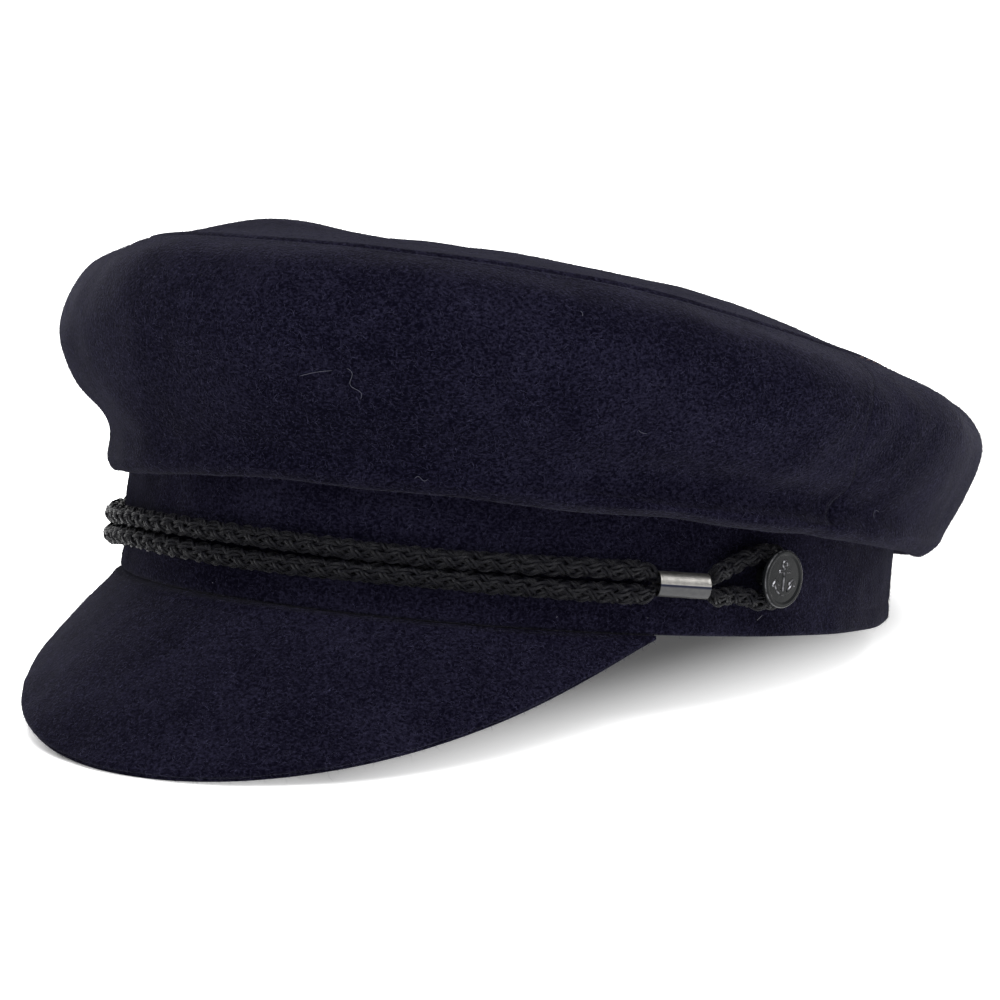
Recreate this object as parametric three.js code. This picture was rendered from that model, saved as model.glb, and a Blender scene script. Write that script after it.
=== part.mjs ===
// Breton fisherman cap: a soft flared crown over a stand-up band, a short stiff peak
// and a braided cord held by two metal ferrules and two buttons.
// Millimetres, +Z up, the peak points to -Y and +X is the wearer's left.

import * as THREE from "three";
import { mergeVertices } from "three/addons/utils/BufferGeometryUtils.js";

// Head opening and band
const HEAD_WIDTH = 166;
const HEAD_LENGTH = 202;
const BAND_WALL = 3;
const BAND_HEIGHT = 31;
const BAND_EDGE = 0.9;

// Gap between pieces that are sewn together or touch
const CLEARANCE = 0.3;

// Crown: how far it overhangs the band, rises above it and sags below its top edge
const CROWN_WALL = 2;
const CROWN_OVERHANG = 20;
const CROWN_RISE = 48.5;
const CROWN_SAG = 19;
const FOLD_ROOM = 6;
const SEW_DEPTH = 0.5;
const TIP_PUFF = 11;
const TIP_ROUNDNESS = 2.2;
const CREASE_DEPTH = 2.5;
const SIDE_SEAM_ANGLE = 90;

// Peak
const PEAK_REACH = 52.5;
const PEAK_WALL = 3;
const PEAK_EDGE = 0.8;
const PEAK_SWELL = 0.3;
const PEAK_HALF_ANGLE = 60.6;
const PEAK_FRONT_ANGLE = 42;
const PEAK_SIDE_ANGLE = 52;
const PEAK_TAPER = 1.07;
const PEAK_FAN = 0.71;
const PEAK_END_SHARE = 0.4;

// Cord, ferrules and buttons
const CORD_THICKNESS = 4.8;
const CORD_PITCH = 5.2;
const CORD_HEIGHT = 11.6;
const CORD_DROP_RIGHT = 2;
const FERRULE_DIAMETER = 5.7;
const FERRULE_WALL = 0.45;
const FERRULE_LENGTH = 11;
const FERRULE_LIFT = 2.8;
const FERRULE_ANGLE = 62.8;
const BUTTON_DIAMETER = 13.2;
const BUTTON_THICKNESS = 1.8;
const BUTTON_RIM = 1;
const BUTTON_DISH = 0.5;
const BUTTON_ROUNDING = 0.3;
const BUTTON_HEIGHT = 13.7;
const BUTTON_ANGLE = 76.8;
const SHANK_DIAMETER = 3;

// How finely the round shapes are divided
const ROUND_STEPS = 72;
const STEPS_PER_SPAN = 2;
const TIP_RINGS = 6;
const PEAK_STEPS = 32;
const PEAK_ROWS = 6;
const CORD_SIDES = 8;
const CORD_STEPS_PER_SPAN = 2;
const METAL_SIDES = 20;

// Sections of the crown's side, evenly spaced from the front towards the wearer's left.
// "out" is a share of CROWN_OVERHANG beyond the band, "up" a share of CROWN_RISE above it,
// sag a share of CROWN_SAG and room a share of FOLD_ROOM inside the lower fold.
const CROWN_SECTIONS = {
  front: { sag: 0.2, room: 0.3, waist: { out: 0.3, up: 0.06 }, bulge: { out: 0.96, up: 0.66 },
    shoulder: { out: 0.7, up: 0.91 }, seam: { out: 0.05, up: 1.0 } },
  frontLeft: { sag: 0.2, room: 0.35, waist: { out: 0.35, up: 0.04 }, bulge: { out: 0.95, up: 0.58 },
    shoulder: { out: 0.7, up: 0.83 }, seam: { out: 0.07, up: 0.95 } },
  left: { sag: 0.45, room: 0.85, waist: { out: 0.5, up: -0.02 }, bulge: { out: 0.95, up: 0.43 },
    shoulder: { out: 0.66, up: 0.59 }, seam: { out: 0.06, up: 0.7 } },
  backLeft: { sag: 0.8, room: 0.9, waist: { out: 0.61, up: -0.18 }, bulge: { out: 0.94, up: 0.23 },
    shoulder: { out: 0.62, up: 0.43 }, seam: { out: 0.09, up: 0.46 } },
  back: { sag: 0.95, room: 0.95, waist: { out: 0.6, up: -0.16 }, bulge: { out: 0.84, up: 0.16 },
    shoulder: { out: 0.56, up: 0.34 }, seam: { out: 0.06, up: 0.45 } },
  backRight: { sag: 0.8, room: 0.9, waist: { out: 0.6, up: -0.16 }, bulge: { out: 0.9, up: 0.22 },
    shoulder: { out: 0.6, up: 0.42 }, seam: { out: 0.08, up: 0.51 } },
  right: { sag: 0.45, room: 0.85, waist: { out: 0.5, up: -0.01 }, bulge: { out: 0.93, up: 0.41 },
    shoulder: { out: 0.66, up: 0.62 }, seam: { out: 0.07, up: 0.75 } },
  frontRight: { sag: 0.45, room: 0.25, waist: { out: 0.34, up: 0.02 }, bulge: { out: 0.88, up: 0.51 },
    shoulder: { out: 0.67, up: 0.77 }, seam: { out: 0.07, up: 0.93 } },
};

// Where the flank lies between the waist and the bulge
const FLANK = { out: 0.55, up: 0.42 };

// Soft creases and swellings of the side: centre angle and place along the section from the
// sewn edge (0) to the tip seam (1), spread in degrees and along the section, slant per degree,
// and depth as a share of CREASE_DEPTH, inward where negative
const SIDE_CREASES = [
  { angle: 66, along: 0.52, spreadAngle: 30, width: 0.07, slant: -0.0012, depth: -0.9 },
  { angle: 60, along: 0.4, spreadAngle: 34, width: 0.07, slant: -0.0006, depth: 0.5 },
  { angle: 298, along: 0.52, spreadAngle: 28, width: 0.08, slant: 0.001, depth: -0.7 },
  { angle: 310, along: 0.66, spreadAngle: 24, width: 0.1, slant: 0, depth: 0.5 },
  { angle: 205, along: 0.55, spreadAngle: 26, width: 0.08, slant: 0.001, depth: -0.6 },
];

// Soft swellings of the tip: place and spread as shares of the tip's half width and half
// length, and height as a share of CREASE_DEPTH
const TIP_SWELLINGS = [
  { across: -0.5, along: -0.5, spread: 0.3, height: 2.2 },
  { across: 0.6, along: 0.1, spread: 0.35, height: 0.7 },
  { across: 0, along: -0.1, spread: 0.35, height: -0.5 },
];

// Stations of the upper strand along the front, each with its share of CORD_DROP_RIGHT when
// it lies on the wearer's right. Beyond them the whole drop holds.
const STRAND_STATIONS = [
  { angle: 0, dropped: 0 },
  { angle: 14, dropped: 0 },
  { angle: 28, dropped: 0.1 },
  { angle: 40, dropped: 0.7 },
  { angle: 50, dropped: 1 },
];

// Each strand's half sizes and its distance from the ferrule's axis, as shares of the bore
const PINCH = { spread: 0.51, tall: 0.43, deep: 0.78 };

// Stations of the upper strand round a shank: beyond the button's centre and away from it as
// shares of the loop's radius, and lifted from the cord's height (0) to the button's (1)
const LOOP_STATIONS = [
  { beyond: -3.2, spread: 0.9, lift: 0.4 },
  { beyond: -2, spread: 1.22, lift: 0.75 },
  { beyond: -0.8, spread: 1.34, lift: 1 },
  { beyond: 0.4, spread: 1.2, lift: 1 },
  { beyond: 1.1, spread: 0.7, lift: 1 },
  { beyond: 1.36, spread: 0, lift: 1 },
];

const OUTER_HALF_WIDTH = HEAD_WIDTH / 2 + BAND_WALL;
const OUTER_HALF_LENGTH = HEAD_LENGTH / 2 + BAND_WALL;
const CORD_REACH = CORD_THICKNESS / 2 + CLEARANCE;
const FERRULE_REACH = FERRULE_DIAMETER / 2 + CLEARANCE;

// Materials

function cloth(color) {
  return new THREE.MeshStandardMaterial({ color, roughness: 0.95, metalness: 0 });
}

function metal(color, roughness) {
  return new THREE.MeshStandardMaterial({ color, roughness, metalness: 1 });
}

const NAVY_WOOL = cloth(0x11121f);
const BLACK_BRAID = cloth(0x131316);
const SATIN_STEEL = metal(0x8a929c, 0.35);
const BLACK_ENAMEL = metal(0x16171a, 0.25);

// Curves

function splineValue(before, from, to, after, share) {
  const slope = (to - before) / 2;
  const nextSlope = (after - to) / 2 + (to - from) / 2;
  const squared = share * share;
  const cubed = squared * share;
  return (
    (2 * cubed - 3 * squared + 1) * from +
    (cubed - 2 * squared + share) * slope +
    (3 * squared - 2 * cubed) * to +
    (cubed - squared) * nextSlope
  );
}

// A smooth value round a closed list, where place counts entries from the first
function aroundList(list, place, valueOf) {
  const count = list.length;
  const wrapped = ((place % count) + count) % count;
  const index = Math.floor(wrapped);
  const near = [-1, 0, 1, 2].map((step) => valueOf(list[(index + step + count) % count]));
  return splineValue(...near, wrapped - index);
}

// A point beyond the band's outer face: out along its normal, up from its lower edge
function offBand(angle, out, up) {
  const turn = THREE.MathUtils.degToRad(angle);
  const face = new THREE.Vector3(
    OUTER_HALF_WIDTH * Math.sin(turn),
    -OUTER_HALF_LENGTH * Math.cos(turn),
    up,
  );
  return face.addScaledVector(bandNormal(angle), out);
}

function bandNormal(angle) {
  const turn = THREE.MathUtils.degToRad(angle);
  return new THREE.Vector3(
    Math.sin(turn) / OUTER_HALF_WIDTH,
    -Math.cos(turn) / OUTER_HALF_LENGTH,
    0,
  ).normalize();
}

// Degrees round the band that cover a length of its outer face
function degreesFor(length, angle) {
  const turn = THREE.MathUtils.degToRad(angle);
  const perRadian = Math.hypot(
    OUTER_HALF_WIDTH * Math.cos(turn),
    OUTER_HALF_LENGTH * Math.sin(turn),
  );
  return THREE.MathUtils.radToDeg(length / perRadian);
}

function evenSteps(from, to, count) {
  return Array.from({ length: count + 1 }, (_, step) => from + ((to - from) * step) / count);
}

// Closed bodies

function signedVolume(position, index) {
  const corners = [new THREE.Vector3(), new THREE.Vector3(), new THREE.Vector3()];
  let volume = 0;
  for (let face = 0; face < index.length; face += 3) {
    corners.forEach((corner, side) => corner.fromBufferAttribute(position, index[face + side]));
    volume += corners[0].dot(corners[1].clone().cross(corners[2])) / 6;
  }
  return volume;
}

// One closed geometry, its coincident corners merged and its faces turned outward
function closedGeometry(points, faces) {
  const raw = new THREE.BufferGeometry().setFromPoints(points);
  raw.setIndex(faces.flat());
  const geometry = mergeVertices(raw, 1e-4);
  const merged = geometry.index.array;
  const kept = [];
  for (let face = 0; face < merged.length; face += 3) {
    const [a, b, c] = merged.slice(face, face + 3);
    if (a !== b && b !== c && c !== a) kept.push([a, b, c]);
  }
  const outward = signedVolume(geometry.attributes.position, kept.flat()) > 0;
  geometry.setIndex(kept.map(([a, b, c]) => (outward ? [a, b, c] : [a, c, b])).flat());
  geometry.computeVertexNormals();
  return geometry;
}

// The faces that close an open end, paired across the section from its two ends inward
function endFaces(first, count) {
  const faces = [];
  for (let low = 0; low < count - 1 - low; low++) {
    const high = count - 1 - low;
    faces.push([first + low, first + high, first + low + 1]);
    faces.push([first + low + 1, first + high, first + high - 1]);
  }
  return faces;
}

// A body skinned over equal closed sections. Joined, the last section meets the first.
function skinSections(sections, joined) {
  const count = sections[0].length;
  const spans = joined ? sections.length : sections.length - 1;
  const faces = [];
  for (let span = 0; span < spans; span++) {
    const here = span * count;
    const next = ((span + 1) % sections.length) * count;
    for (let corner = 0; corner < count; corner++) {
      const after = (corner + 1) % count;
      faces.push([here + corner, next + corner, next + after]);
      faces.push([here + corner, next + after, here + after]);
    }
  }
  if (!joined) {
    const last = (sections.length - 1) * count;
    faces.push(...endFaces(0, count).map(([a, b, c]) => [a, c, b]));
    faces.push(...endFaces(last, count));
  }
  return closedGeometry(sections.flat(), faces);
}

function namedMesh(name, geometry, material) {
  const mesh = new THREE.Mesh(geometry, material.clone());
  mesh.name = name;
  return mesh;
}

// Band: an upright oval wall with rounded folded edges

function bandSection(angle) {
  const inner = -BAND_WALL;
  const profile = [
    [-BAND_EDGE, 0],
    [0, BAND_EDGE],
    [0, BAND_HEIGHT - BAND_EDGE],
    [-BAND_EDGE, BAND_HEIGHT],
    [inner + BAND_EDGE, BAND_HEIGHT],
    [inner, BAND_HEIGHT - BAND_EDGE],
    [inner, BAND_EDGE],
    [inner + BAND_EDGE, 0],
  ];
  return profile.map(([out, up]) => offBand(angle, out, up));
}

function makeBand() {
  const angles = evenSteps(0, 360, ROUND_STEPS).slice(0, -1);
  return namedMesh("band", skinSections(angles.map(bandSection), true), NAVY_WOOL);
}

// Crown side: from the sewn edge at the band, down round the lower fold, out over the bulge
// and in again to the tip seam

function crownControls(angle) {
  const sections = Object.values(CROWN_SECTIONS);
  const place = (angle / 360) * sections.length;
  const value = (valueOf) => aroundList(sections, place, valueOf);
  const spot = (key) =>
    new THREE.Vector2(
      CROWN_OVERHANG * value((row) => row[key].out),
      CROWN_RISE * value((row) => row[key].up),
    );
  const sag = CROWN_SAG * value((row) => row.sag);
  const foldOut = CLEARANCE + 2 * CROWN_WALL + FOLD_ROOM * value((row) => row.room);
  const waist = spot("waist");
  const bulge = spot("bulge");
  const flank = new THREE.Vector2(
    THREE.MathUtils.lerp(waist.x, bulge.x, FLANK.out),
    THREE.MathUtils.lerp(waist.y, bulge.y, FLANK.up),
  );
  return [
    new THREE.Vector2(CLEARANCE, -SEW_DEPTH),
    new THREE.Vector2(CLEARANCE, -SEW_DEPTH - sag / 2),
    new THREE.Vector2(foldOut / 2, -SEW_DEPTH - sag),
    new THREE.Vector2(foldOut, CROWN_WALL - sag),
    waist,
    flank,
    bulge,
    spot("shoulder"),
    spot("seam"),
  ];
}

// The wall's hidden skin: each control moved square to the line between its neighbours
function insetControls(controls, wall) {
  return controls.map((control, index) => {
    const before = controls[Math.max(index - 1, 0)];
    const after = controls[Math.min(index + 1, controls.length - 1)];
    const along = after.clone().sub(before).normalize();
    return new THREE.Vector2(control.x - wall * along.y, control.y + wall * along.x);
  });
}

function creaseDepth(angle, along) {
  let depth = 0;
  for (const crease of SIDE_CREASES) {
    const turned = THREE.MathUtils.euclideanModulo(angle - crease.angle + 180, 360) - 180;
    const offset = (along - crease.along - crease.slant * turned) / crease.width;
    depth += crease.depth * Math.exp(-((turned / crease.spreadAngle) ** 2) - offset ** 2);
  }
  return CREASE_DEPTH * depth;
}

// The outer and hidden skins of the crown's side at one angle, from sewn edge to tip seam
function crownSkins(angle) {
  const controls = crownControls(angle);
  const outer = new THREE.SplineCurve(controls);
  const hidden = new THREE.SplineCurve(insetControls(controls, CROWN_WALL));
  const spans = (controls.length - 1) * STEPS_PER_SPAN;
  const skins = { outer: [], hidden: [] };
  for (const along of evenSteps(0, 1, spans)) {
    const tangent = outer.getTangent(along);
    const depth = creaseDepth(angle, along);
    const shift = new THREE.Vector2(tangent.y, -tangent.x).multiplyScalar(depth);
    const face = outer.getPoint(along).add(shift);
    const back = hidden.getPoint(along).add(shift);
    skins.outer.push(offBand(angle, face.x, BAND_HEIGHT + face.y));
    skins.hidden.push(offBand(angle, back.x, BAND_HEIGHT + back.y));
  }
  return skins;
}

function crownSection(angle) {
  const skins = crownSkins(angle);
  return [...skins.outer, ...skins.hidden.reverse()];
}

// Half of the side, between the two side seams
function makeCrownSide(name, middle) {
  const half = SIDE_SEAM_ANGLE - degreesFor(CLEARANCE / 2, SIDE_SEAM_ANGLE);
  const angles = evenSteps(middle - half, middle + half, ROUND_STEPS / 2);
  return namedMesh(name, skinSections(angles.map(crownSection), false), NAVY_WOOL);
}

// Crown tip: a padded oval disc inside the ring of the tip seam

function tipRim(angle) {
  const skins = crownSkins(angle);
  const rim = {};
  for (const [skin, points] of Object.entries(skins)) {
    const [before, last] = points.slice(-2);
    const inward = last.clone().sub(before).normalize();
    rim[skin] = last.clone().addScaledVector(inward, CLEARANCE);
  }
  return rim;
}

function tipLift(point, centre, share) {
  const across = (point.x - centre.x) / OUTER_HALF_WIDTH;
  const along = (point.y - centre.y) / OUTER_HALF_LENGTH;
  let lift = 0;
  for (const swelling of TIP_SWELLINGS) {
    const away = Math.hypot(across - swelling.across, along - swelling.along) / swelling.spread;
    lift += swelling.height * Math.exp(-away * away);
  }
  const heldAtRim = 1 - share ** 4;
  return TIP_PUFF * (1 - share ** TIP_ROUNDNESS) + CREASE_DEPTH * lift * heldAtRim;
}

function tipSection(rim, centre) {
  const outer = [];
  const hidden = [];
  for (const share of evenSteps(1, 0, TIP_RINGS)) {
    const point = centre.clone().lerp(rim.outer, share);
    point.z += tipLift(point, centre, share);
    const depth = rim.hidden.clone().sub(rim.outer).multiplyScalar(share);
    depth.z -= CROWN_WALL * (1 - share);
    outer.push(point);
    hidden.push(point.clone().add(depth));
  }
  return [...outer, ...hidden.reverse()];
}

function makeCrownTip() {
  const rims = evenSteps(0, 360, ROUND_STEPS).slice(0, -1).map(tipRim);
  const centre = new THREE.Vector3();
  rims.forEach((rim) => centre.addScaledVector(rim.outer, 1 / rims.length));
  const sections = rims.map((rim) => tipSection(rim, centre));
  return namedMesh("crown_tip", skinSections(sections, true), NAVY_WOOL);
}

// Peak: a curved stiff wall whose root lies under the band's lower edge

function peakShape(angle) {
  const share = THREE.MathUtils.clamp(angle / PEAK_HALF_ANGLE, -1, 1);
  const slope = THREE.MathUtils.lerp(PEAK_FRONT_ANGLE, PEAK_SIDE_ANGLE, share * share);
  const width = Math.max(0, Math.cos((Math.PI / 2) * share)) ** PEAK_TAPER;
  return {
    reach: PEAK_EDGE + (PEAK_REACH - PEAK_EDGE) * width,
    slope: THREE.MathUtils.degToRad(slope),
    swell: PEAK_SWELL * (1 - share * share),
    wall: PEAK_WALL * (PEAK_END_SHARE + (1 - PEAK_END_SHARE) * Math.sqrt(1 - share * share)),
  };
}

// The peak fans out less than the band's normals do, so its sides sweep forward
function peakDirection(angle) {
  const normal = bandNormal(angle);
  const turn = PEAK_FAN * Math.atan2(normal.x, -normal.y);
  return new THREE.Vector3(Math.sin(turn), -Math.cos(turn), 0);
}

function peakSection(angle) {
  const { reach, slope, swell, wall } = peakShape(angle);
  const direction = peakDirection(angle);
  const foot = offBand(angle, 0, -CLEARANCE);
  const place = (along, below) => {
    const out = along * Math.cos(slope) - below * Math.sin(slope);
    const down = along * Math.sin(slope) + below * Math.cos(slope);
    const point = foot.clone().addScaledVector(direction, out);
    point.z -= down;
    return point;
  };
  const top = [];
  const under = [];
  for (const share of evenSteps(0, 1, PEAK_ROWS)) {
    const along = share * (reach - PEAK_EDGE);
    const lift = swell * Math.sin(Math.PI * share);
    top.push(place(along, -lift));
    under.push(place(along, wall - lift));
  }
  const root = offBand(angle, PEAK_EDGE - BAND_WALL, -CLEARANCE);
  return [root, ...top, place(reach, wall / 2), ...under.reverse()];
}

function makePeak() {
  const angles = evenSteps(-PEAK_HALF_ANGLE, PEAK_HALF_ANGLE, PEAK_STEPS);
  return namedMesh("peak", skinSections(angles.map(peakSection), false), NAVY_WOOL);
}

// Cord: one closed loop of braid, doubled across the front, pinched inside the ferrules and
// passed round the shank of each button

// How far the ferrule's axis stands off the band, where share runs from -0.5 at the front end
// to 0.5 at the end that the button's loop pulls away from the band
function ferruleOut(share) {
  return FERRULE_REACH + FERRULE_LIFT * (share + 0.5);
}

// The upper strand's stations from the front to the wearer's left button
function strandStations() {
  const half = CORD_THICKNESS / 2;
  const full = { out: CORD_REACH, tall: half, deep: half };
  const bore = FERRULE_DIAMETER / 2 - FERRULE_WALL - CLEARANCE;
  const pinched = {
    spread: bore * PINCH.spread,
    tall: bore * PINCH.tall,
    deep: bore * PINCH.deep,
  };
  const halfFerrule = degreesFor(FERRULE_LENGTH / 2, FERRULE_ANGLE);
  const loop = SHANK_DIAMETER / 2 + CLEARANCE + half;
  const perLoop = degreesFor(loop, BUTTON_ANGLE);
  const strand = STRAND_STATIONS.map((station) => (
    { ...full, ...station, middle: CORD_HEIGHT, spread: CORD_PITCH / 2 }
  ));
  const inFerrule = [-1, 0, 1].map((end) => (
    {
      ...pinched,
      angle: FERRULE_ANGLE + end * halfFerrule,
      out: ferruleOut(end / 2),
      middle: CORD_HEIGHT,
      dropped: 1,
    }
  ));
  const roundShank = LOOP_STATIONS.map(({ beyond, spread, lift }) => (
    {
      ...full,
      angle: BUTTON_ANGLE + beyond * perLoop,
      middle: THREE.MathUtils.lerp(CORD_HEIGHT, BUTTON_HEIGHT, lift),
      spread: spread * loop,
      dropped: 1,
    }
  ));
  return [...strand, ...inFerrule, ...roundShank];
}

// The whole loop: out along the upper strand, back along the lower one, and mirrored
function cordStations() {
  const upperLeft = strandStations();
  const flip = (stations, side, level) =>
    stations.map((station) => ({
      ...station,
      angle: side * station.angle,
      middle: station.middle - (side < 0 ? CORD_DROP_RIGHT * station.dropped : 0),
      spread: level * station.spread,
    }));
  return [
    ...upperLeft,
    ...flip(upperLeft, 1, -1).reverse().slice(1),
    ...flip(upperLeft, -1, -1).slice(1),
    ...flip(upperLeft, -1, 1).reverse().slice(1, -1),
  ];
}

function cordSections() {
  const stations = cordStations();
  const steps = stations.length * CORD_STEPS_PER_SPAN;
  const spots = evenSteps(0, stations.length, steps).slice(0, -1).map((place) => {
    const value = (valueOf) => aroundList(stations, place, valueOf);
    const angle = value((station) => station.angle);
    const up = value((station) => station.middle + station.spread);
    return {
      centre: offBand(angle, value((station) => station.out), up),
      normal: bandNormal(angle),
      tall: value((station) => station.tall),
      deep: value((station) => station.deep),
    };
  });
  return spots.map(({ centre, normal, tall, deep }, index) => {
    const ahead = spots[(index + 1) % steps].centre;
    const behind = spots[(index + steps - 1) % steps].centre;
    const side = ahead.clone().sub(behind).cross(normal).normalize();
    return evenSteps(0, 2 * Math.PI, CORD_SIDES).slice(0, -1).map((turn) =>
      centre
        .clone()
        .addScaledVector(side, tall * Math.cos(turn))
        .addScaledVector(normal, deep * Math.sin(turn)),
    );
  });
}

function makeCord() {
  return namedMesh("braid_cord", skinSections(cordSections(), true), BLACK_BRAID);
}

// On the wearer's right the ferrule and button sit a little lower
function sideHeight(height, side) {
  return side < 0 ? height - CORD_DROP_RIGHT : height;
}

// Ferrules: short straight tubes beside the band

function makeFerrule(name, side) {
  const up = new THREE.Vector3(0, 0, 1);
  const spot = (share) =>
    offBand(
      side * (FERRULE_ANGLE + degreesFor(share * FERRULE_LENGTH, FERRULE_ANGLE)),
      ferruleOut(share),
      sideHeight(CORD_HEIGHT, side),
    );
  const axis = spot(0.5).sub(spot(-0.5)).normalize();
  const out = up.clone().cross(axis);
  const place = (share, radius, turn) =>
    spot(0)
      .addScaledVector(axis, share * FERRULE_LENGTH)
      .addScaledVector(out, radius * Math.cos(turn))
      .addScaledVector(up, radius * Math.sin(turn));
  const outer = FERRULE_DIAMETER / 2;
  const bore = outer - FERRULE_WALL;
  const sections = evenSteps(0, 2 * Math.PI, METAL_SIDES).slice(0, -1).map((turn) => [
    place(-0.5, outer, turn),
    place(0.5, outer, turn),
    place(0.5, bore, turn),
    place(-0.5, bore, turn),
  ]);
  return namedMesh(name, skinSections(sections, true), SATIN_STEEL);
}

// Buttons: a dished disc with a raised rim on a shank that the cord loops round

function makeButton(name, side) {
  const radius = BUTTON_DIAMETER / 2;
  const shank = SHANK_DIAMETER / 2;
  const back = CORD_THICKNESS + CLEARANCE;
  const front = back + BUTTON_THICKNESS;
  const profile = [
    [0, 0],
    [shank, 0],
    [shank, back],
    [radius - BUTTON_ROUNDING, back],
    [radius, back + BUTTON_ROUNDING],
    [radius, front - BUTTON_ROUNDING],
    [radius - BUTTON_ROUNDING, front],
    [radius - BUTTON_RIM, front],
    [radius - BUTTON_RIM - BUTTON_DISH, front - BUTTON_DISH],
    [0, front - BUTTON_DISH],
  ];
  const outline = profile.map(([across, along]) => new THREE.Vector2(across, along));
  const geometry = new THREE.LatheGeometry(outline, METAL_SIDES);
  const button = namedMesh(name, geometry, BLACK_ENAMEL);
  const angle = side * BUTTON_ANGLE;
  button.position.copy(offBand(angle, CLEARANCE, sideHeight(BUTTON_HEIGHT, side)));
  button.quaternion.setFromUnitVectors(new THREE.Vector3(0, 1, 0), bandNormal(angle));
  return button;
}

// At rest the cap stands on the peak's lip and the back of the band's lower edge

function restTilt(peak) {
  const heel = OUTER_HALF_LENGTH - BAND_EDGE;
  const corner = new THREE.Vector3();
  const { position } = peak.geometry.attributes;
  let tilt = 0;
  for (let index = 0; index < position.count; index++) {
    corner.fromBufferAttribute(position, index);
    tilt = Math.max(tilt, Math.atan2(-corner.z, heel - corner.y));
  }
  return tilt;
}

const peak = makePeak();
const tilted = new THREE.Group();
tilted.add(
  makeBand(),
  makeCrownSide("crown_side_front", 0),
  makeCrownSide("crown_side_back", 180),
  makeCrownTip(),
  peak,
  makeCord(),
  makeFerrule("ferrule_left", 1),
  makeFerrule("ferrule_right", -1),
  makeButton("button_left", 1),
  makeButton("button_right", -1),
);
tilted.rotation.x = -restTilt(peak);

// The origin is on the surface that the cap rests on, under the middle of its box
const cap = new THREE.Group();
cap.add(tilted);
cap.updateMatrixWorld(true);
const box = new THREE.Box3().setFromObject(cap, true);
const middle = box.getCenter(new THREE.Vector3());
tilted.position.set(-middle.x, -middle.y, -box.min.z);
cap.updateMatrixWorld(true);

export default cap;
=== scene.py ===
import math

import bmesh
import bpy
import numpy as np
from bpy.props import FloatProperty, FloatVectorProperty, IntProperty, PointerProperty
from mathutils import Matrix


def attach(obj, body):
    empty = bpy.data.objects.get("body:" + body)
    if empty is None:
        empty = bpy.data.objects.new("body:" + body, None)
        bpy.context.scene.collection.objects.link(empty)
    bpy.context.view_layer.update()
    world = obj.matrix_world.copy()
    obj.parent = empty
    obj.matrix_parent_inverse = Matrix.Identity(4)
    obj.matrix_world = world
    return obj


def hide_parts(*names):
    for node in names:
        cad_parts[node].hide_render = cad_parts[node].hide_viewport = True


bl_info = {
    "name": "Breton fisherman cap",
    "version": (1, 0, 0),
    "blender": (4, 5, 0),
    "location": "View3D > Sidebar > Cap",
    "description": "Builds a wool fisherman cap piece by piece around its packed solids",
    "category": "Object",
}

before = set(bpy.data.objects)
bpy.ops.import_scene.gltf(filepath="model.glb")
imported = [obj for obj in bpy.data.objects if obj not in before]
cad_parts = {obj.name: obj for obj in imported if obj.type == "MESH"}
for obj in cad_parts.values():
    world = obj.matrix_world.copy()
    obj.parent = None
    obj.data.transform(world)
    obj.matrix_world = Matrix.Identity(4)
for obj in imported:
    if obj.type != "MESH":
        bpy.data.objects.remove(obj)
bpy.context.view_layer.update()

MM = 0.001
TAU = 2 * math.pi

# The crown's sections, evenly spaced from the front towards the wearer's left. "out" columns are
# shares of the overhang beyond the band, "up" columns shares of the rise above it, sag a share of
# the sag below the band's top edge, and room a share of the space inside the lower fold.
CROWN_SECTIONS = {
    #               front  f.left  left   b.left  back   b.right  right  f.right
    "sag":          (0.2,  0.2,    0.45,  0.8,    0.95,  0.8,     0.45,  0.45),
    "room":         (0.3,  0.35,   0.85,  0.9,    0.95,  0.9,     0.85,  0.25),
    "waist_out":    (0.3,  0.35,   0.5,   0.61,   0.6,   0.6,     0.5,   0.34),
    "waist_up":     (0.06, 0.04,   -0.02, -0.18,  -0.16, -0.16,   -0.01, 0.02),
    "bulge_out":    (0.96, 0.95,   0.95,  0.94,   0.84,  0.9,     0.93,  0.88),
    "bulge_up":     (0.66, 0.58,   0.43,  0.23,   0.16,  0.22,    0.41,  0.51),
    "shoulder_out": (0.7,  0.7,    0.66,  0.62,   0.56,  0.6,     0.66,  0.67),
    "shoulder_up":  (0.91, 0.83,   0.59,  0.43,   0.34,  0.42,    0.62,  0.77),
    "seam_out":     (0.05, 0.07,   0.06,  0.09,   0.06,  0.08,    0.07,  0.07),
    "seam_up":      (1.0,  0.95,   0.7,   0.46,   0.45,  0.51,    0.75,  0.93),
}
FLANK_OUT, FLANK_UP = 0.55, 0.42

# Soft creases and swellings of the crown's side: centre angle, place along the section from the
# sewn edge (0) to the tip seam (1), spread in degrees and along the section, slant per degree,
# and depth as a share of the crease depth, inward where negative.
SIDE_CREASES = (
    # angle along spread width  slant    depth
    (66,    0.52, 30,    0.07,  -0.0012, -0.9),
    (60,    0.4,  34,    0.07,  -0.0006, 0.5),
    (298,   0.52, 28,    0.08,  0.001,   -0.7),
    (310,   0.66, 24,    0.1,   0,       0.5),
    (205,   0.55, 26,    0.08,  0.001,   -0.6),
)

# Soft swellings of the tip: place and spread as shares of its half width and half length, and
# height as a share of the crease depth.
TIP_SWELLINGS = (
    # across along spread height
    (-0.5,   -0.5, 0.3,   2.2),
    (0.6,    0.1,  0.35,  0.7),
    (0,      -0.1, 0.35,  -0.5),
)

# The upper strand's stations: angle, the share of the drop on the wearer's right, and the share of
# half the pitch.
STRAND_STATIONS = ((0, 0, 1), (14, 0, 0.94), (28, 0.1, 0.86), (40, 0.7, 0.94), (50, 1, 1))

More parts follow.
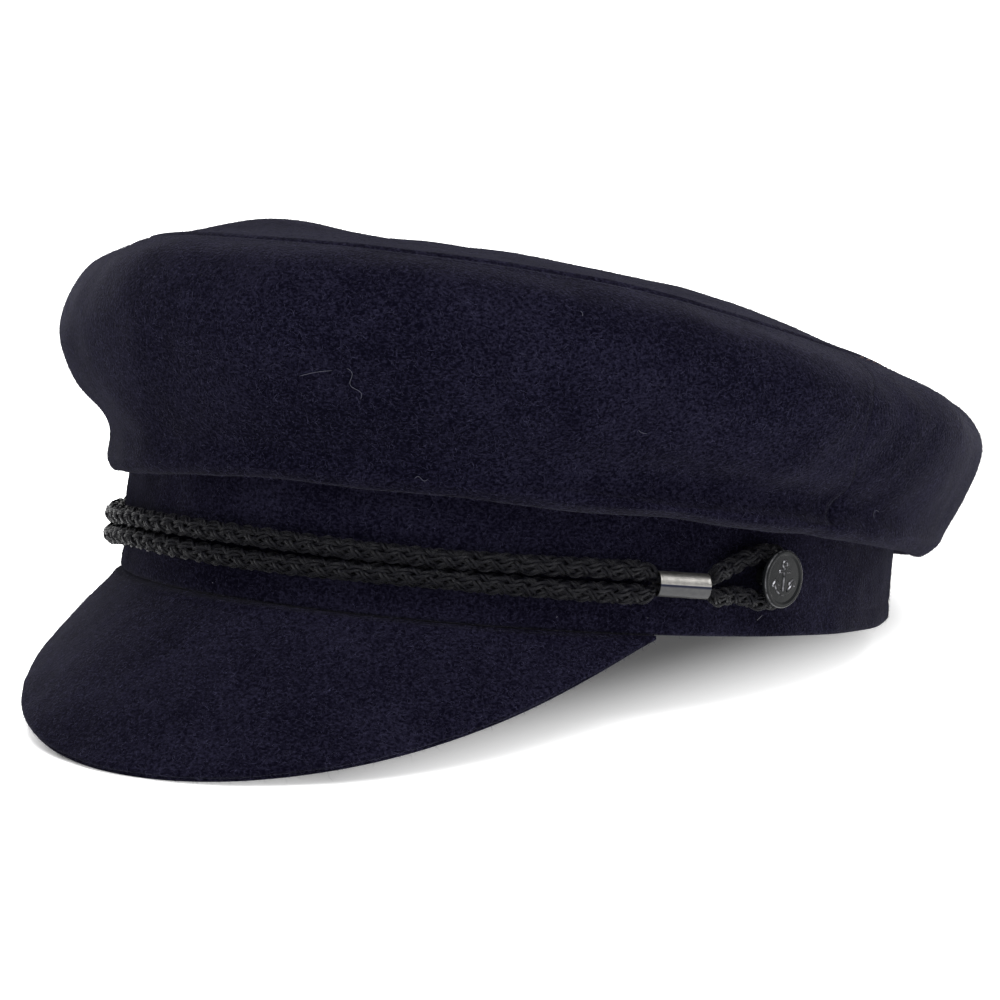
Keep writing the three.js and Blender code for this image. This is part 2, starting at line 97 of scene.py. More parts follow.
# The upper strand round a shank: beyond the button's centre and away from it as shares of the
# loop's radius, and lifted from the cord's height (0) to the button's (1).
LOOP_STATIONS = (
    # beyond away  lifted
    (-3,     0.76, 0.5),
    (-2,     0.98, 0.9),
    (-0.8,   1.28, 1),
    (0.4,    1.2,  1),
    (1.1,    0.7,  1),
    (1.36,   0,    1),
)

# Loose hairs on the crown's sides: 1 on the back half, the shares of the skin's rows and columns
# where one starts and ends, how far it bows in millimetres, and how many half waves it makes.
HAIRS = (
    # back row  column  to row  column  bow    waves
    (0, 0.664,  0.581,  0.616,  0.588,  0.8,   3),
    (0, 0.642,  0.553,  0.657,  0.573,  0.2,   1),
    (0, 0.842,  0.703,  0.829,  0.705,  0.3,   1),
    (0, 0.624,  0.753,  0.619,  0.759,  -0.3,  1),
    (0, 0.4,    0.62,   0.41,   0.628,  0.5,   2),
    (1, 0.776,  0.157,  0.762,  0.157,  0.7,   1),
    (1, 0.47,   0.086,  0.445,  0.083,  -1.3,  1),
    (1, 0.6,    0.46,   0.62,   0.47,   1.0,   2),
)

# Lint on the band, in millimetres and degrees.
LINT = (
    # height angle length
    (3.6,   59,    0.3),
    (2.8,   46.2,  0.35),
    (2.4,   -6.2,  0.3),
    (0.9,   -22.7, 0.3),
    (4.2,   77.3,  2.2),
    (21,    132,   0.4),
)

# Columns, rows and hidden rows of each half of the crown's side. Three rows stand for a hidden one.
SIDE_GRID = (420, 166, 56)

# The side seams' angle along the section, from the sewn edge to the tip seam.
SIDE_SEAM_PLACES = (0, 0.42, 0.51, 0.57, 0.64, 0.72, 0.8, 0.88, 1)
SIDE_SEAM_ANGLES = (83.3, 83.3, 85.4, 85.1, 83.2, 82.1, 83.2, 86.2, 90)


class CapSizes(bpy.types.PropertyGroup):
    """Sizes of the cap."""

    head_width: FloatProperty(name="Head width", description="Width of the head opening",
                              default=166 * MM, unit="LENGTH")
    head_length: FloatProperty(name="Head length", description="Length of the head opening",
                               default=202 * MM, unit="LENGTH")
    band_wall: FloatProperty(name="Band wall", description="Thickness of the band",
                             default=3 * MM, unit="LENGTH")
    band_height: FloatProperty(name="Band height", description="Height of the band",
                               default=31 * MM, unit="LENGTH")
    crown_wall: FloatProperty(name="Crown wall", description="Thickness of the crown's cloth",
                              default=2 * MM, unit="LENGTH")
    crown_overhang: FloatProperty(name="Crown overhang",
                                  description="How far the crown stands out over the band",
                                  default=20 * MM, unit="LENGTH")
    crown_rise: FloatProperty(name="Crown rise", description="Height of the crown over the band",
                              default=48.5 * MM, unit="LENGTH")
    crown_sag: FloatProperty(name="Crown sag", description="How far the crown hangs over the band",
                             default=19 * MM, unit="LENGTH")
    fold_room: FloatProperty(name="Fold room", description="Space inside the crown's lower fold",
                             default=6 * MM, unit="LENGTH")
    tip_puff: FloatProperty(name="Tip puff", description="How far the top swells over its seam",
                            default=11 * MM, unit="LENGTH")
    crease_depth: FloatProperty(name="Crease depth", description="Depth of the soft creases",
                                default=2.5 * MM, unit="LENGTH")
    peak_reach: FloatProperty(name="Peak reach", description="Length of the peak from the band",
                              default=52.5 * MM, unit="LENGTH")
    peak_wall: FloatProperty(name="Peak wall", description="Thickness of the peak",
                             default=3 * MM, unit="LENGTH")
    clearance: FloatProperty(name="Clearance", description="Gap between sewn pieces",
                             default=0.3 * MM, unit="LENGTH")


class WoolLook(bpy.types.PropertyGroup):
    """Colours and nap of the wool."""

    shade: FloatVectorProperty(name="Shade", description="Colour of the wool's ground",
                               subtype="COLOR", size=4, min=0, max=1,
                               default=(0.0015, 0.0013, 0.0036, 1))
    fibre: FloatVectorProperty(name="Fibre", description="Colour of the lighter fibres",
                               subtype="COLOR", size=4, min=0, max=1,
                               default=(0.0125, 0.0118, 0.0235, 1))
    sheen: FloatProperty(name="Sheen", description="Strength of the nap's sheen",
                         default=0.07, min=0, max=1)
    nap_count: IntProperty(name="Nap fibres", description="Number of loose fibres on the wool",
                           default=48000, min=0)
    nap_length: FloatProperty(name="Nap length", description="Length of the loose fibres",
                              default=1.3 * MM, unit="LENGTH")


class CordLook(bpy.types.PropertyGroup):
    """Sizes and colour of the braided cord."""

    thickness: FloatProperty(name="Thickness", description="Thickness of one strand of the cord",
                             default=4.8 * MM, unit="LENGTH")
    pitch: FloatProperty(name="Pitch", description="Distance between the two strands' centres",
                         default=5.2 * MM, unit="LENGTH")
    height: FloatProperty(name="Height", description="Height of the cord on the band",
                          default=11.6 * MM, unit="LENGTH")
    drop: FloatProperty(name="Drop", description="How much lower the wearer's right is",
                        default=2 * MM, unit="LENGTH")
    stitch: FloatProperty(name="Braid step", description="Length of one step of the braid",
                          default=5.0 * MM, unit="LENGTH")
    shade: FloatVectorProperty(name="Shade", description="Colour of the yarn", subtype="COLOR",
                               size=4, min=0, max=1, default=(0.0032, 0.0032, 0.0050, 1))


class MetalLook(bpy.types.PropertyGroup):
    """Sizes and colours of the ferrules and buttons."""

    ferrule_diameter: FloatProperty(name="Ferrule diameter", description="Outside of a ferrule",
                                    default=5.7 * MM, unit="LENGTH")
    ferrule_wall: FloatProperty(name="Ferrule wall", description="Wall of a ferrule",
                                default=0.45 * MM, unit="LENGTH")
    ferrule_length: FloatProperty(name="Ferrule length", description="Length of a ferrule",
                                  default=12 * MM, unit="LENGTH")
    ferrule_lift: FloatProperty(name="Ferrule lift", description="How far its rear end stands out",
                                default=2.8 * MM, unit="LENGTH")
    ferrule_angle: FloatProperty(name="Ferrule angle", description="Its place round the band",
                                 default=math.radians(62.0), subtype="ANGLE")
    button_diameter: FloatProperty(name="Button diameter", description="Diameter of a button",
                                   default=13.2 * MM, unit="LENGTH")
    button_thickness: FloatProperty(name="Button thickness", description="Thickness of a button",
                                    default=1.8 * MM, unit="LENGTH")
    button_height: FloatProperty(name="Button height", description="Height of a button on the band",
                                 default=13.7 * MM, unit="LENGTH")
    button_angle: FloatProperty(name="Button angle", description="Place of a button round the band",
                                default=math.radians(76.8), subtype="ANGLE")
    shank_diameter: FloatProperty(name="Shank diameter", description="Diameter of a button's shank",
                                  default=3 * MM, unit="LENGTH")
    relief: FloatProperty(name="Relief", description="Height of the anchor on a button",
                          default=0.45 * MM, unit="LENGTH")
    steel: FloatVectorProperty(name="Steel", description="Colour of the ferrules", subtype="COLOR",
                               size=4, min=0, max=1, default=(0.27, 0.262, 0.248, 1))
    enamel: FloatVectorProperty(name="Enamel", description="Colour of the buttons", subtype="COLOR",
                                size=4, min=0, max=1, default=(0.004, 0.0045, 0.005, 1))


class StageLook(bpy.types.PropertyGroup):
    """Floor, light and camera."""

    floor: FloatVectorProperty(name="Floor", description="Colour of the floor", subtype="COLOR",
                               size=4, min=0, max=1, default=(0.93, 0.93, 0.93, 1))
    # Painted glow: the floor's emission, weaker near the cap, paints the cap's soft shadow.
    painted_glow: FloatProperty(name="Floor glow", description="Light that comes through the floor",
                        default=0.95, min=0)
    daylight: FloatProperty(name="Even light", description="Strength of the light from all sides",
                            default=0.98, min=0)
    key_light: FloatProperty(name="Key light", description="Power of the large soft light",
                             default=34, min=0, unit="POWER")
    azimuth: FloatProperty(name="Azimuth", description="Camera's angle from ahead of the peak",
                           default=math.radians(35.315), subtype="ANGLE")
    elevation: FloatProperty(name="Elevation", description="Camera's angle over the floor",
                             default=math.radians(10.448), subtype="ANGLE")
    distance: FloatProperty(name="Distance", description="Camera's distance from what it looks at",
                            default=1.001, unit="LENGTH")


def of_cap():
    """The cap's settings: its sizes and the looks of wool, cord and metal."""
    scene = bpy.context.scene
    return scene.cap_sizes, scene.cap_wool, scene.cap_cord, scene.cap_metal


# Shapes in general


def around(values, angles):
    """A closed Catmull-Rom curve through values that are evenly spaced over 360 degrees:
    start + t/2 (end - before + t (2 before - 5 start + 4 end - after
    + t (3 start - 3 end + after - before)))."""
    values = np.asarray(values, float)
    place = (angles / 360.0 * len(values)) % len(values)
    first = np.floor(place).astype(int)
    t = place - first
    before, start, end, after = (values[(first + step) % len(values)] for step in (-1, 0, 1, 2))
    return start + t / 2 * (end - before + t * (2 * before - 5 * start + 4 * end - after
                                                + t * (3 * (start - end) + after - before)))


def along(controls, shares, by_row=False):
    """The same curve through controls on the first axis, its two ends doubled. shares, from 0
    to 1, becomes the first axis of what it returns. by_row: the second axis of the controls holds
    the controls of each share's own row."""
    spans = len(controls) - 1
    place = np.asarray(shares) * spans
    first = np.minimum(np.floor(place).astype(int), spans - 1)
    t = (place - first).reshape((-1,) + (1,) * (controls.ndim - 1 - by_row))
    own = (np.arange(len(place)),) if by_row else ()
    before, start, end, after = (controls[(np.clip(first + step, 0, spans), *own)]
                                 for step in (-1, 0, 1, 2))
    return start + t / 2 * (end - before + t * (2 * before - 5 * start + 4 * end - after
                                                + t * (3 * (start - end) + after - before)))


def unit(vectors):
    """Vectors on the last axis, each divided by its length."""
    return vectors / np.maximum(np.linalg.norm(vectors, axis=-1, keepdims=True), 1e-12)


def bell(values, centre, width):
    """exp(-((value - centre) / width)^2): 1 at the centre and fading on both sides of it."""
    return np.exp(-((values - centre) / width) ** 2)


def half_axes(sizes):
    """Half the width and half the length of the band's outer ellipse."""
    return sizes.head_width / 2 + sizes.band_wall, sizes.head_length / 2 + sizes.band_wall


def band_normal(sizes, angles):
    """The band's outward normal: (sin a / half width, -cos a / half length, 0), made unit."""
    a = np.radians(angles)
    half_width, half_length = half_axes(sizes)
    return unit(np.stack([np.sin(a) / half_width, -np.cos(a) / half_length, np.zeros_like(a)], -1))


def off_band(sizes, angles, out, up):
    """A point out beyond the band's outer ellipse and up from its lower edge:
    (half width sin a, -half length cos a, up) + out times the normal."""
    angles, out, up = np.broadcast_arrays(angles, out, up)
    a = np.radians(angles)
    half_width, half_length = half_axes(sizes)
    face = np.stack([half_width * np.sin(a), -half_length * np.cos(a), up], -1)
    return face + out[..., None] * band_normal(sizes, angles)


def degrees_for(sizes, length, angle):
    """Degrees round the band that cover a length of its outer face at an angle."""
    a = math.radians(angle)
    half_width, half_length = half_axes(sizes)
    per_radian = math.hypot(half_width * math.cos(a), half_length * math.sin(a))
    return math.degrees(length / per_radian)


def soft_field(points, wavelength, seed):
    """A smooth random height from about -1 to 1: the mean of sine waves that cross space in
    random directions, with lengths within a third or so of the given one."""
    waves = 28
    rng = np.random.default_rng(seed)
    total = np.zeros(points.shape[:-1])
    for _ in range(waves):
        direction = unit(rng.normal(size=3))
        length = wavelength * rng.uniform(0.7, 1.4)
        total += np.sin(TAU / length * (points @ direction) + rng.uniform(0, TAU))
    return total * math.sqrt(2 / waves) * 0.7


def grid_normals(grid, closed_columns=False):
    """Unit normals of a grid of points: the cross product of its two central differences."""
    if closed_columns:
        across = np.roll(grid, -1, 1) - np.roll(grid, 1, 1)
    else:
        across = np.gradient(grid, axis=1)
    return unit(np.cross(across, np.gradient(grid, axis=0)))


def cap_placement():
    """How the cap stands in the part's frame: (turn matrix, offset). The band's wall is upright
    in the cap's own frame, so the lean is the angle that makes the band least tall."""
    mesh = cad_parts["band"].data
    points = np.empty(len(mesh.vertices) * 3)
    mesh.vertices.foreach_get("co", points)
    points = np.unique(points.reshape(-1, 3).round(7), axis=0)
    leans = np.radians(np.linspace(0, 20, 4001))
    heights = np.outer(np.sin(leans), points[:, 1]) + np.outer(np.cos(leans), points[:, 2])
    lean = leans[np.argmin(np.ptp(heights, axis=1))]
    cos, sin = math.cos(lean), math.sin(lean)
    turn = np.array([[1, 0, 0], [0, cos, sin], [0, -sin, cos]])
    upright = points @ turn
    low, high = upright.min(0), upright.max(0)
    return turn, turn @ np.array([(low[0] + high[0]) / 2, (low[1] + high[1]) / 2, low[2]])


TURN, OFFSET = cap_placement()


def in_part(points):
    """Points of the cap's own frame, in the part's."""
    return points @ TURN.T + OFFSET


def make_piece(name, points, faces, materials, face_materials=None, vectors=None, merge=True):
    """A piece of the part from points in the cap's frame. Its doubles are merged and its faces
    turned outward, and it rides on the one body."""
    mesh = bpy.data.meshes.new(name)
    mesh.from_pydata(in_part(points.reshape(-1, 3)), [], faces)
    if vectors is not None:
        attribute = mesh.attributes.new("flow", "FLOAT_VECTOR", "POINT")
        attribute.data.foreach_set("vector", np.ascontiguousarray(vectors, np.float32).ravel())
    if face_materials is not None:
        mesh.polygons.foreach_set("material_index", np.asarray(face_materials, np.int32))
    for material in materials:
        mesh.materials.append(material)
    if merge:
        work = bmesh.new()
        work.from_mesh(mesh)
        bmesh.ops.remove_doubles(work, verts=work.verts, dist=1e-7)
        bmesh.ops.dissolve_degenerate(work, edges=work.edges, dist=1e-8)
        bmesh.ops.recalc_face_normals(work, faces=work.faces)
        work.to_mesh(mesh)
        work.free()
    mesh.shade_smooth()
    if merge:
        mesh.set_sharp_from_angle(angle=math.radians(50))
    piece = bpy.data.objects.new(name, mesh)
    bpy.context.scene.collection.objects.link(piece)
    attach(piece, "root")
    return piece


def grid_faces(rows, columns, close_rows=False, close_columns=False):
    """Corner numbers of the quads of a grid whose points are numbered row by row."""
    r = np.arange(rows if close_rows else rows - 1)
    c = np.arange(columns if close_columns else columns - 1)
    r, c = np.meshgrid(r, c, indexing="ij")
    r_next, c_next = (r + 1) % rows, (c + 1) % columns
    here, beyond = r * columns, r_next * columns
    return np.stack([here + c, here + c_next, beyond + c_next, beyond + c], -1).reshape(-1, 4)


# Materials


class Nodes:
    """Short way to add and join a material's nodes."""

    def __init__(self, name):
        self.material = bpy.data.materials.new(name)
        self.material.use_nodes = True
        self.tree = self.material.node_tree
        self.surface = self.tree.nodes["Principled BSDF"]

    def add(self, kind, values=None, **settings):
        """A node of a kind, with its settings, and its inputs set or joined."""
        node = self.tree.nodes.new(kind)
        for key, value in settings.items():
            setattr(node, key, value)
        for key, value in (values or {}).items():
            self.set(node, key, value)
        return node

    def set(self, node, key, value):
        """Joins a socket to an input, or writes a value to it."""
        if isinstance(value, bpy.types.NodeSocket):
            self.tree.links.new(value, node.inputs[key])
        else:
            node.inputs[key].default_value = value

    def math(self, operation, first, second=0.0, third=0.0):
        """A sum, product or other operation on numbers."""
        values = {0: first, 1: second, 2: third}
        return self.add("ShaderNodeMath", values, operation=operation).outputs[0]

    def place(self):
        """The piece's Object coordinates."""
        return self.add("ShaderNodeTexCoord").outputs["Object"]

    def split(self, vector):
        """The three numbers of a vector."""
        return self.add("ShaderNodeSeparateXYZ", {0: vector}).outputs

    def flow(self):
        """The three numbers that the piece's own points carry."""
        return self.split(self.add("ShaderNodeAttribute", attribute_name="flow").outputs["Vector"])

    def noise(self, coordinates, scale, detail=2.0, roughness=0.5, distortion=0.0):
        """Noise from 0 to 1, by lengths of 1 / scale metres."""
        values = {"Vector": coordinates, "Scale": scale, "Detail": detail,
                  "Roughness": roughness, "Distortion": distortion}
        return self.add("ShaderNodeTexNoise", values).outputs["Fac"]

    def stretch(self, coordinates, scale):
        """Coordinates times a scale for each axis."""
        values = {"Vector": coordinates, "Scale": scale}
        return self.add("ShaderNodeMapping", values).outputs["Vector"]

    def ramp(self, factor, low, high):
        """Factor spread from 0 at low to 1 at high, and held beyond them."""
        values = {"Value": factor, "From Min": low, "From Max": high}
        return self.add("ShaderNodeMapRange", values).outputs["Result"]

    def mix(self, factor, first, second):
        """A colour between two."""
        node = self.add("ShaderNodeMix", data_type="RGBA")
        self.set(node, 0, factor)
        self.set(node, 6, first)
        self.set(node, 7, second)
        return node.outputs[2]

    def bump(self, height, distance, strength=1.0, normal=None):
        """A normal raised by height times distance."""
        values = {"Height": height, "Distance": distance, "Strength": strength}
        node = self.add("ShaderNodeBump", values)
        if normal is not None:
            self.set(node, "Normal", normal)
        return node.outputs["Normal"]


def tint(colour, factor):
    """A colour times a factor, opaque."""
    return tuple(factor * c for c in colour[:3]) + (1,)


def wool_material(name):
    """Felted wool: a dark ground, cloudy patches, a fine mottle of fibres lying in the nap's
    direction, stray lighter fibres, and a soft sheen at grazing angles."""
    wool = bpy.context.scene.cap_wool
    n = Nodes(name)
    place = n.place()
    clouds = n.noise(place, 60, 3, 0.55)
    mottle = n.noise(place, 1500, 2, 0.6)
    strands = n.noise(n.stretch(place, (0.45, 0.45, 1.0)), 2600, 2, 0.7, 0.8)
    strays = n.ramp(n.noise(n.stretch(place, (1.0, 1.0, 0.16)), 1300, 2, 0.6, 0.8), 0.66, 0.74)
    fine = n.math("MULTIPLY_ADD", mottle, 0.45, n.math("MULTIPLY", strands, 0.55))
    level = n.ramp(n.math("MULTIPLY_ADD", clouds, 0.2, fine), 0.54, 0.82)
    level = n.math("MAXIMUM", level, n.math("MULTIPLY", strays, 0.6))
    n.set(n.surface, "Base Color", n.mix(level, tuple(wool.shade), tuple(wool.fibre)))
    n.set(n.surface, "Roughness", n.ramp(mottle, -0.6, 1.4))
    n.set(n.surface, "Specular IOR Level", 0.0)
    n.set(n.surface, "Sheen Weight", wool.sheen)
    n.set(n.surface, "Sheen Roughness", 0.35)
    n.set(n.surface, "Sheen Tint", (0.72, 0.72, 0.85, 1))
    coarse = n.bump(mottle, 0.35 * MM, 0.7)
    n.set(n.surface, "Normal", n.bump(strands, 0.15 * MM, 0.6, coarse))
    return n.material


def fibre_material(name):
    """Loose wool fibres: lighter and bluer than the cloth, each patch by its own amount."""
    wool = bpy.context.scene.cap_wool
    n = Nodes(name)
    level = n.ramp(n.noise(n.place(), 500, 2), 0.4, 0.75)
    n.set(n.surface, "Base Color", n.mix(level, tuple(wool.fibre), tint(wool.fibre, 3.6)))
    n.set(n.surface, "Roughness", 0.7)
    n.set(n.surface, "Specular IOR Level", 0.1)
    return n.material


def lining_material(name):
    """Smooth twill lining: fine diagonal ribs on a near-black satin ground."""
    n = Nodes(name)
    place = n.place()
    x, y, z = n.split(place)
    slant = n.math("ADD", n.math("ADD", x, y), n.math("MULTIPLY", z, 1.6))
    rib = n.math("SINE", n.math("MULTIPLY", slant, 7000))
    dark, light = (0.005, 0.005, 0.008, 1), (0.011, 0.011, 0.016, 1)
    n.set(n.surface, "Base Color", n.mix(n.noise(place, 60, 2), dark, light))
    n.set(n.surface, "Specular IOR Level", 0.14)
    n.set(n.surface, "Roughness", n.ramp(n.noise(place, 160, 2), -1.2, 1.6))
    n.set(n.surface, "Normal", n.bump(rib, 0.05 * MM, 0.5))
    return n.material


def braid_material(name):
    """Filament yarn: fine threads that run along each yarn, coloured lighter on their ridges and
    darker between as painted highlight and shade, with bumps to match.
    """
    cord = bpy.context.scene.cap_cord
    n = Nodes(name)
    place = n.place()
    run, turn, _ = n.flow()
    threads = n.math("SINE", n.math("MULTIPLY_ADD", turn, 9.0, n.math("MULTIPLY", run, 900.0)))
    wander = n.noise(place, 1500, 2)
    ridge_and_painted_shine = n.math("MULTIPLY_ADD", threads, 0.5, wander)
    dust = n.math("MULTIPLY", n.noise(place, 240, 3), 0.6)
    # The threads' ridges are painted lighter and the gaps darker: painted highlight and shade.
    level = n.ramp(n.math("ADD", ridge_and_painted_shine, dust), 0.2, 1.5)
    n.set(n.surface, "Base Color", n.mix(level, tint(cord.shade, 0.4), tint(cord.shade, 1.8)))
    n.set(n.surface, "Roughness", n.ramp(wander, -0.3, 2.3))
    n.set(n.surface, "Specular IOR Level", 0.14)
    n.set(n.surface, "Normal", n.bump(ridge_and_painted_shine, 0.13 * MM, 0.9))
    return n.material


def steel_material(name):
    """Drawn steel tube: fine lines along the tube, small pits and smudges, a painted dark
    reflection over its lower half and a painted dark line at mid-height.
    """
    metal = bpy.context.scene.cap_metal
    n = Nodes(name)
    place = n.place()
    run, turn, _ = n.flow()
    scaled = {0: n.math("MULTIPLY", run, 60.0), 1: n.math("MULTIPLY", turn, 40.0)}
    line = n.add("ShaderNodeCombineXYZ", scaled).outputs[0]
    drawn = n.noise(line, 1.0, 3, 0.6)
    smudge = n.noise(place, 900, 3, 0.65)
    plain = n.mix(n.ramp(smudge, 0.25, 0.75), tint(metal.steel, 0.62), tuple(metal.steel))
    wave = n.math("MULTIPLY", n.math("SUBTRACT", n.noise(line, 0.3, 2), 0.5), 0.15)
    height = n.math("ADD", turn, wave)
    # The lower half is darkened: a painted reflection of the shaded floor and cloth below the tube.
    low = n.math("MULTIPLY", n.ramp(height, 0.04, -0.14), n.ramp(height, -1.45, -1.15))
    lower_shade = n.mix(smudge, (0.035, 0.035, 0.038, 1), (0.065, 0.065, 0.065, 1))
    lower_half_shaded = n.mix(low, plain, lower_shade)
    # A dark blue line along the outward side at mid-height: a painted reflection of a dark horizon.
    seam = n.math("MULTIPLY", n.ramp(height, 0.12, 0.02), n.ramp(height, -0.2, -0.08))
    n.set(n.surface, "Base Color", n.mix(seam, lower_half_shaded, (0.016, 0.018, 0.03, 1)))
    n.set(n.surface, "Metallic", 1.0)
    uneven = n.math("MULTIPLY_ADD", smudge, 0.5, n.math("MULTIPLY", drawn, 0.5))
    n.set(n.surface, "Roughness", n.ramp(uneven, -0.6, 2.4))
    n.set(n.surface, "Normal", n.bump(n.math("ADD", drawn, smudge), 0.04 * MM, 0.5))
    return n.material


def enamel_material(name):
    """Gloss black enamel over metal: an orange-peel surface, bright on the raised edges and the
    rim, partly wear and partly painted glints.
    """
    metal = bpy.context.scene.cap_metal
    n = Nodes(name)
    place = n.place()
    edge = n.flow()[0]
    patches = n.noise(place, 900, 3)
    # Bright metal on the relief's slopes and the rim: partly wear, partly painted glints.
    wear_and_glint = n.math("MULTIPLY", n.ramp(edge, 0.3, 0.85), n.ramp(patches, 0.38, 0.6))
    n.set(n.surface, "Base Color", n.mix(wear_and_glint, tuple(metal.enamel), (0.15, 0.15, 0.16, 1)))
    n.set(n.surface, "Metallic", n.math("MULTIPLY", wear_and_glint, 0.8))
    n.set(n.surface, "Roughness", n.ramp(patches, -0.5, 4.2))
    n.set(n.surface, "Specular IOR Level", 0.08)
    n.set(n.surface, "Normal", n.bump(n.noise(place, 1500, 2), 0.04 * MM, 0.7))
    return n.material


def thread_material(name, colour, gloss=0.5):
    """Thread or hair: a fine grain."""
    n = Nodes(name)
    ply = n.noise(n.place(), 5000, 1)
    n.set(n.surface, "Base Color", n.mix(ply, tint(colour, 0.6), tint(colour, 1)))
    n.set(n.surface, "Roughness", n.ramp(ply, -1.0, 1.4))
    n.set(n.surface, "Specular IOR Level", gloss)
    n.set(n.surface, "Normal", n.bump(ply, 0.05 * MM))
    return n.material


def material(name, make, *values):
    """A material by name, made the first time that it is asked for."""
    return bpy.data.materials.get(name) or make(name, *values)


# Crown


def crown_controls(sizes, angles):
    """The nine control points of the crown's section at each angle, as (out, up) from the band's
    top edge: two down the band, the lower fold, the waist, flank, bulge, shoulder and seam."""
    value = {key: around(row, angles) for key, row in CROWN_SECTIONS.items()}
    spot = {key: np.stack([sizes.crown_overhang * value[key + "_out"],
                           sizes.crown_rise * value[key + "_up"]], -1)
            for key in ("waist", "bulge", "shoulder", "seam")}
    sag = sizes.crown_sag * value["sag"]
    fold = sizes.clearance + 2 * sizes.crown_wall + sizes.fold_room * value["room"]
    inner = np.full_like(sag, sizes.clearance)
    sewn = -0.5 * MM
    flank = spot["waist"] + (spot["bulge"] - spot["waist"]) * np.array([FLANK_OUT, FLANK_UP])
    pair = lambda out, up: np.stack([out, up], -1)
    return np.stack([
        pair(inner, np.full_like(sag, sewn)),
        pair(inner, sewn - sag / 2),
        pair(fold / 2, sewn - sag),
        pair(fold, sizes.crown_wall - sag),
        spot["waist"], flank, spot["bulge"], spot["shoulder"], spot["seam"],
    ])


def inset(controls, wall):
    """The controls moved by the wall square to the line between their neighbours, inwards."""
    before = np.concatenate([controls[:1], controls[:-1]])
    after = np.concatenate([controls[1:], controls[-1:]])
    run = unit(after - before)
    return controls + wall * np.stack([-run[..., 1], run[..., 0]], -1)


def crown_crease(sizes, angles, shares):
    """Depth of the soft creases: the sum of depth exp(-(turn/spread)^2 - (offset/width)^2)."""
    total = np.zeros(np.broadcast(angles, shares).shape)
    for angle, place, spread, width, slant, depth in SIDE_CREASES:
        turned = (angles - angle + 180) % 360 - 180
        off = shares - place - slant * turned
        total += depth * np.exp(-(turned / spread) ** 2 - (off / width) ** 2)
    return sizes.crease_depth * total


def crown_side(sizes, angles, shares, hidden=False):
    """A skin of the crown's side as a grid of points, rows along the section and columns round
    the cap: the section's curve, shifted square to itself by the creases. Each row has its own
    angles."""
    controls = crown_controls(sizes, angles)
    section = along(controls, shares, by_row=True)
    run = unit(np.gradient(section, axis=0))
    depth = crown_crease(sizes, angles, shares[:, None])
    if hidden:
        section = along(inset(controls, sizes.crown_wall), shares, by_row=True)
    section = section + depth[..., None] * np.stack([run[..., 1], -run[..., 0]], -1)
    return off_band(sizes, angles, section[..., 0], sizes.band_height + section[..., 1])


def wool_swell(points):
    """Height of the cloth's own softness: broad undulations and slight ripples."""
    return 0.5 * MM * soft_field(points, 46 * MM, 3) + 0.14 * MM * soft_field(points, 15 * MM, 7)


def side_seam(shares):
    """Angle of the two side seams along the section, from the sewn edge to the tip seam."""
    return np.interp(shares, SIDE_SEAM_PLACES, SIDE_SEAM_ANGLES)


def side_pinch(shares, from_seam):
    """Depth of the pinched crease at the foot of a side seam: a narrow and a wide Gaussian dip
    about the seam, both fading along it from the middle of the crease."""
    narrow = 0.6 * MM * bell(from_seam, 0, 1.4 * MM)
    wide = 0.5 * MM * bell(from_seam, 0, 6 * MM)
    return (narrow + wide) * bell(shares, 0.48, 0.04)


def crown_side_skins(sizes, front):
    """The outer and the hidden skin of the side's front or back half. Near the tip seam and at the
    side seams the outer cloth turns in by a bell curve, deeper where the seams are pinched over
    the lower fold. The hidden skin is tucked in under the pinch."""
    columns, rows, hidden_rows = SIDE_GRID
    t = np.linspace(-1, 1, columns)
    spread = 1.3 * t - 0.3 * t ** 3

    def half_of(shares):
        """The angles of a half's points, and how far each is from the nearer side seam."""
        half = side_seam(shares) if front else 180 - side_seam(shares)
        angles = (0 if front else 180) + half[:, None] * spread[None, :]
        away = np.radians(half[:, None] * (1 - np.abs(spread))) * (sizes.head_length / 2)
        return angles, away

    shares = np.linspace(0, 1, rows)
    shares = 0.9 * shares + 0.1 * np.sin(shares * math.pi / 2)
    angles, from_seam = half_of(shares)
    grid = crown_side(sizes, angles, shares)
    normals = grid_normals(grid)
    step = np.linalg.norm(np.diff(grid, axis=0), axis=-1)
    to_tip = np.cumsum(np.concatenate([np.zeros((1, columns)), step[::-1]]), 0)[::-1]
    share = shares[:, None]
    lift = wool_swell(grid) * np.clip(share * 3, 0, 1) * (1 - np.exp(-to_tip / (6 * MM)))
    lift -= 0.5 * MM * bell(to_tip, 0, 0.6 * MM)
    lift += 0.16 * MM * bell(to_tip, 1.8 * MM, 1.1 * MM)
    lift -= 0.06 * MM * bell(from_seam, 0, 0.7 * MM) * np.clip((share - 0.4) * 20, 0, 1)
    lift += (0.08 if front else 0.03) * MM * bell(from_seam, 1.6 * MM, 1.2 * MM)
    lift -= side_pinch(share, from_seam)

    under = np.linspace(0, 1, hidden_rows)
    angles, from_seam = half_of(under)
    hidden = crown_side(sizes, angles, under, hidden=True)
    under = under[:, None]
    tuck = 1.8 * MM * np.exp(-(from_seam / (14 * MM)) ** 2 - ((under - 0.46) / 0.08) ** 2)
    hidden -= (tuck + 0.3 * MM * (under > 0.4))[..., None] * band_normal(sizes, angles)
    return grid + lift[..., None] * normals, hidden


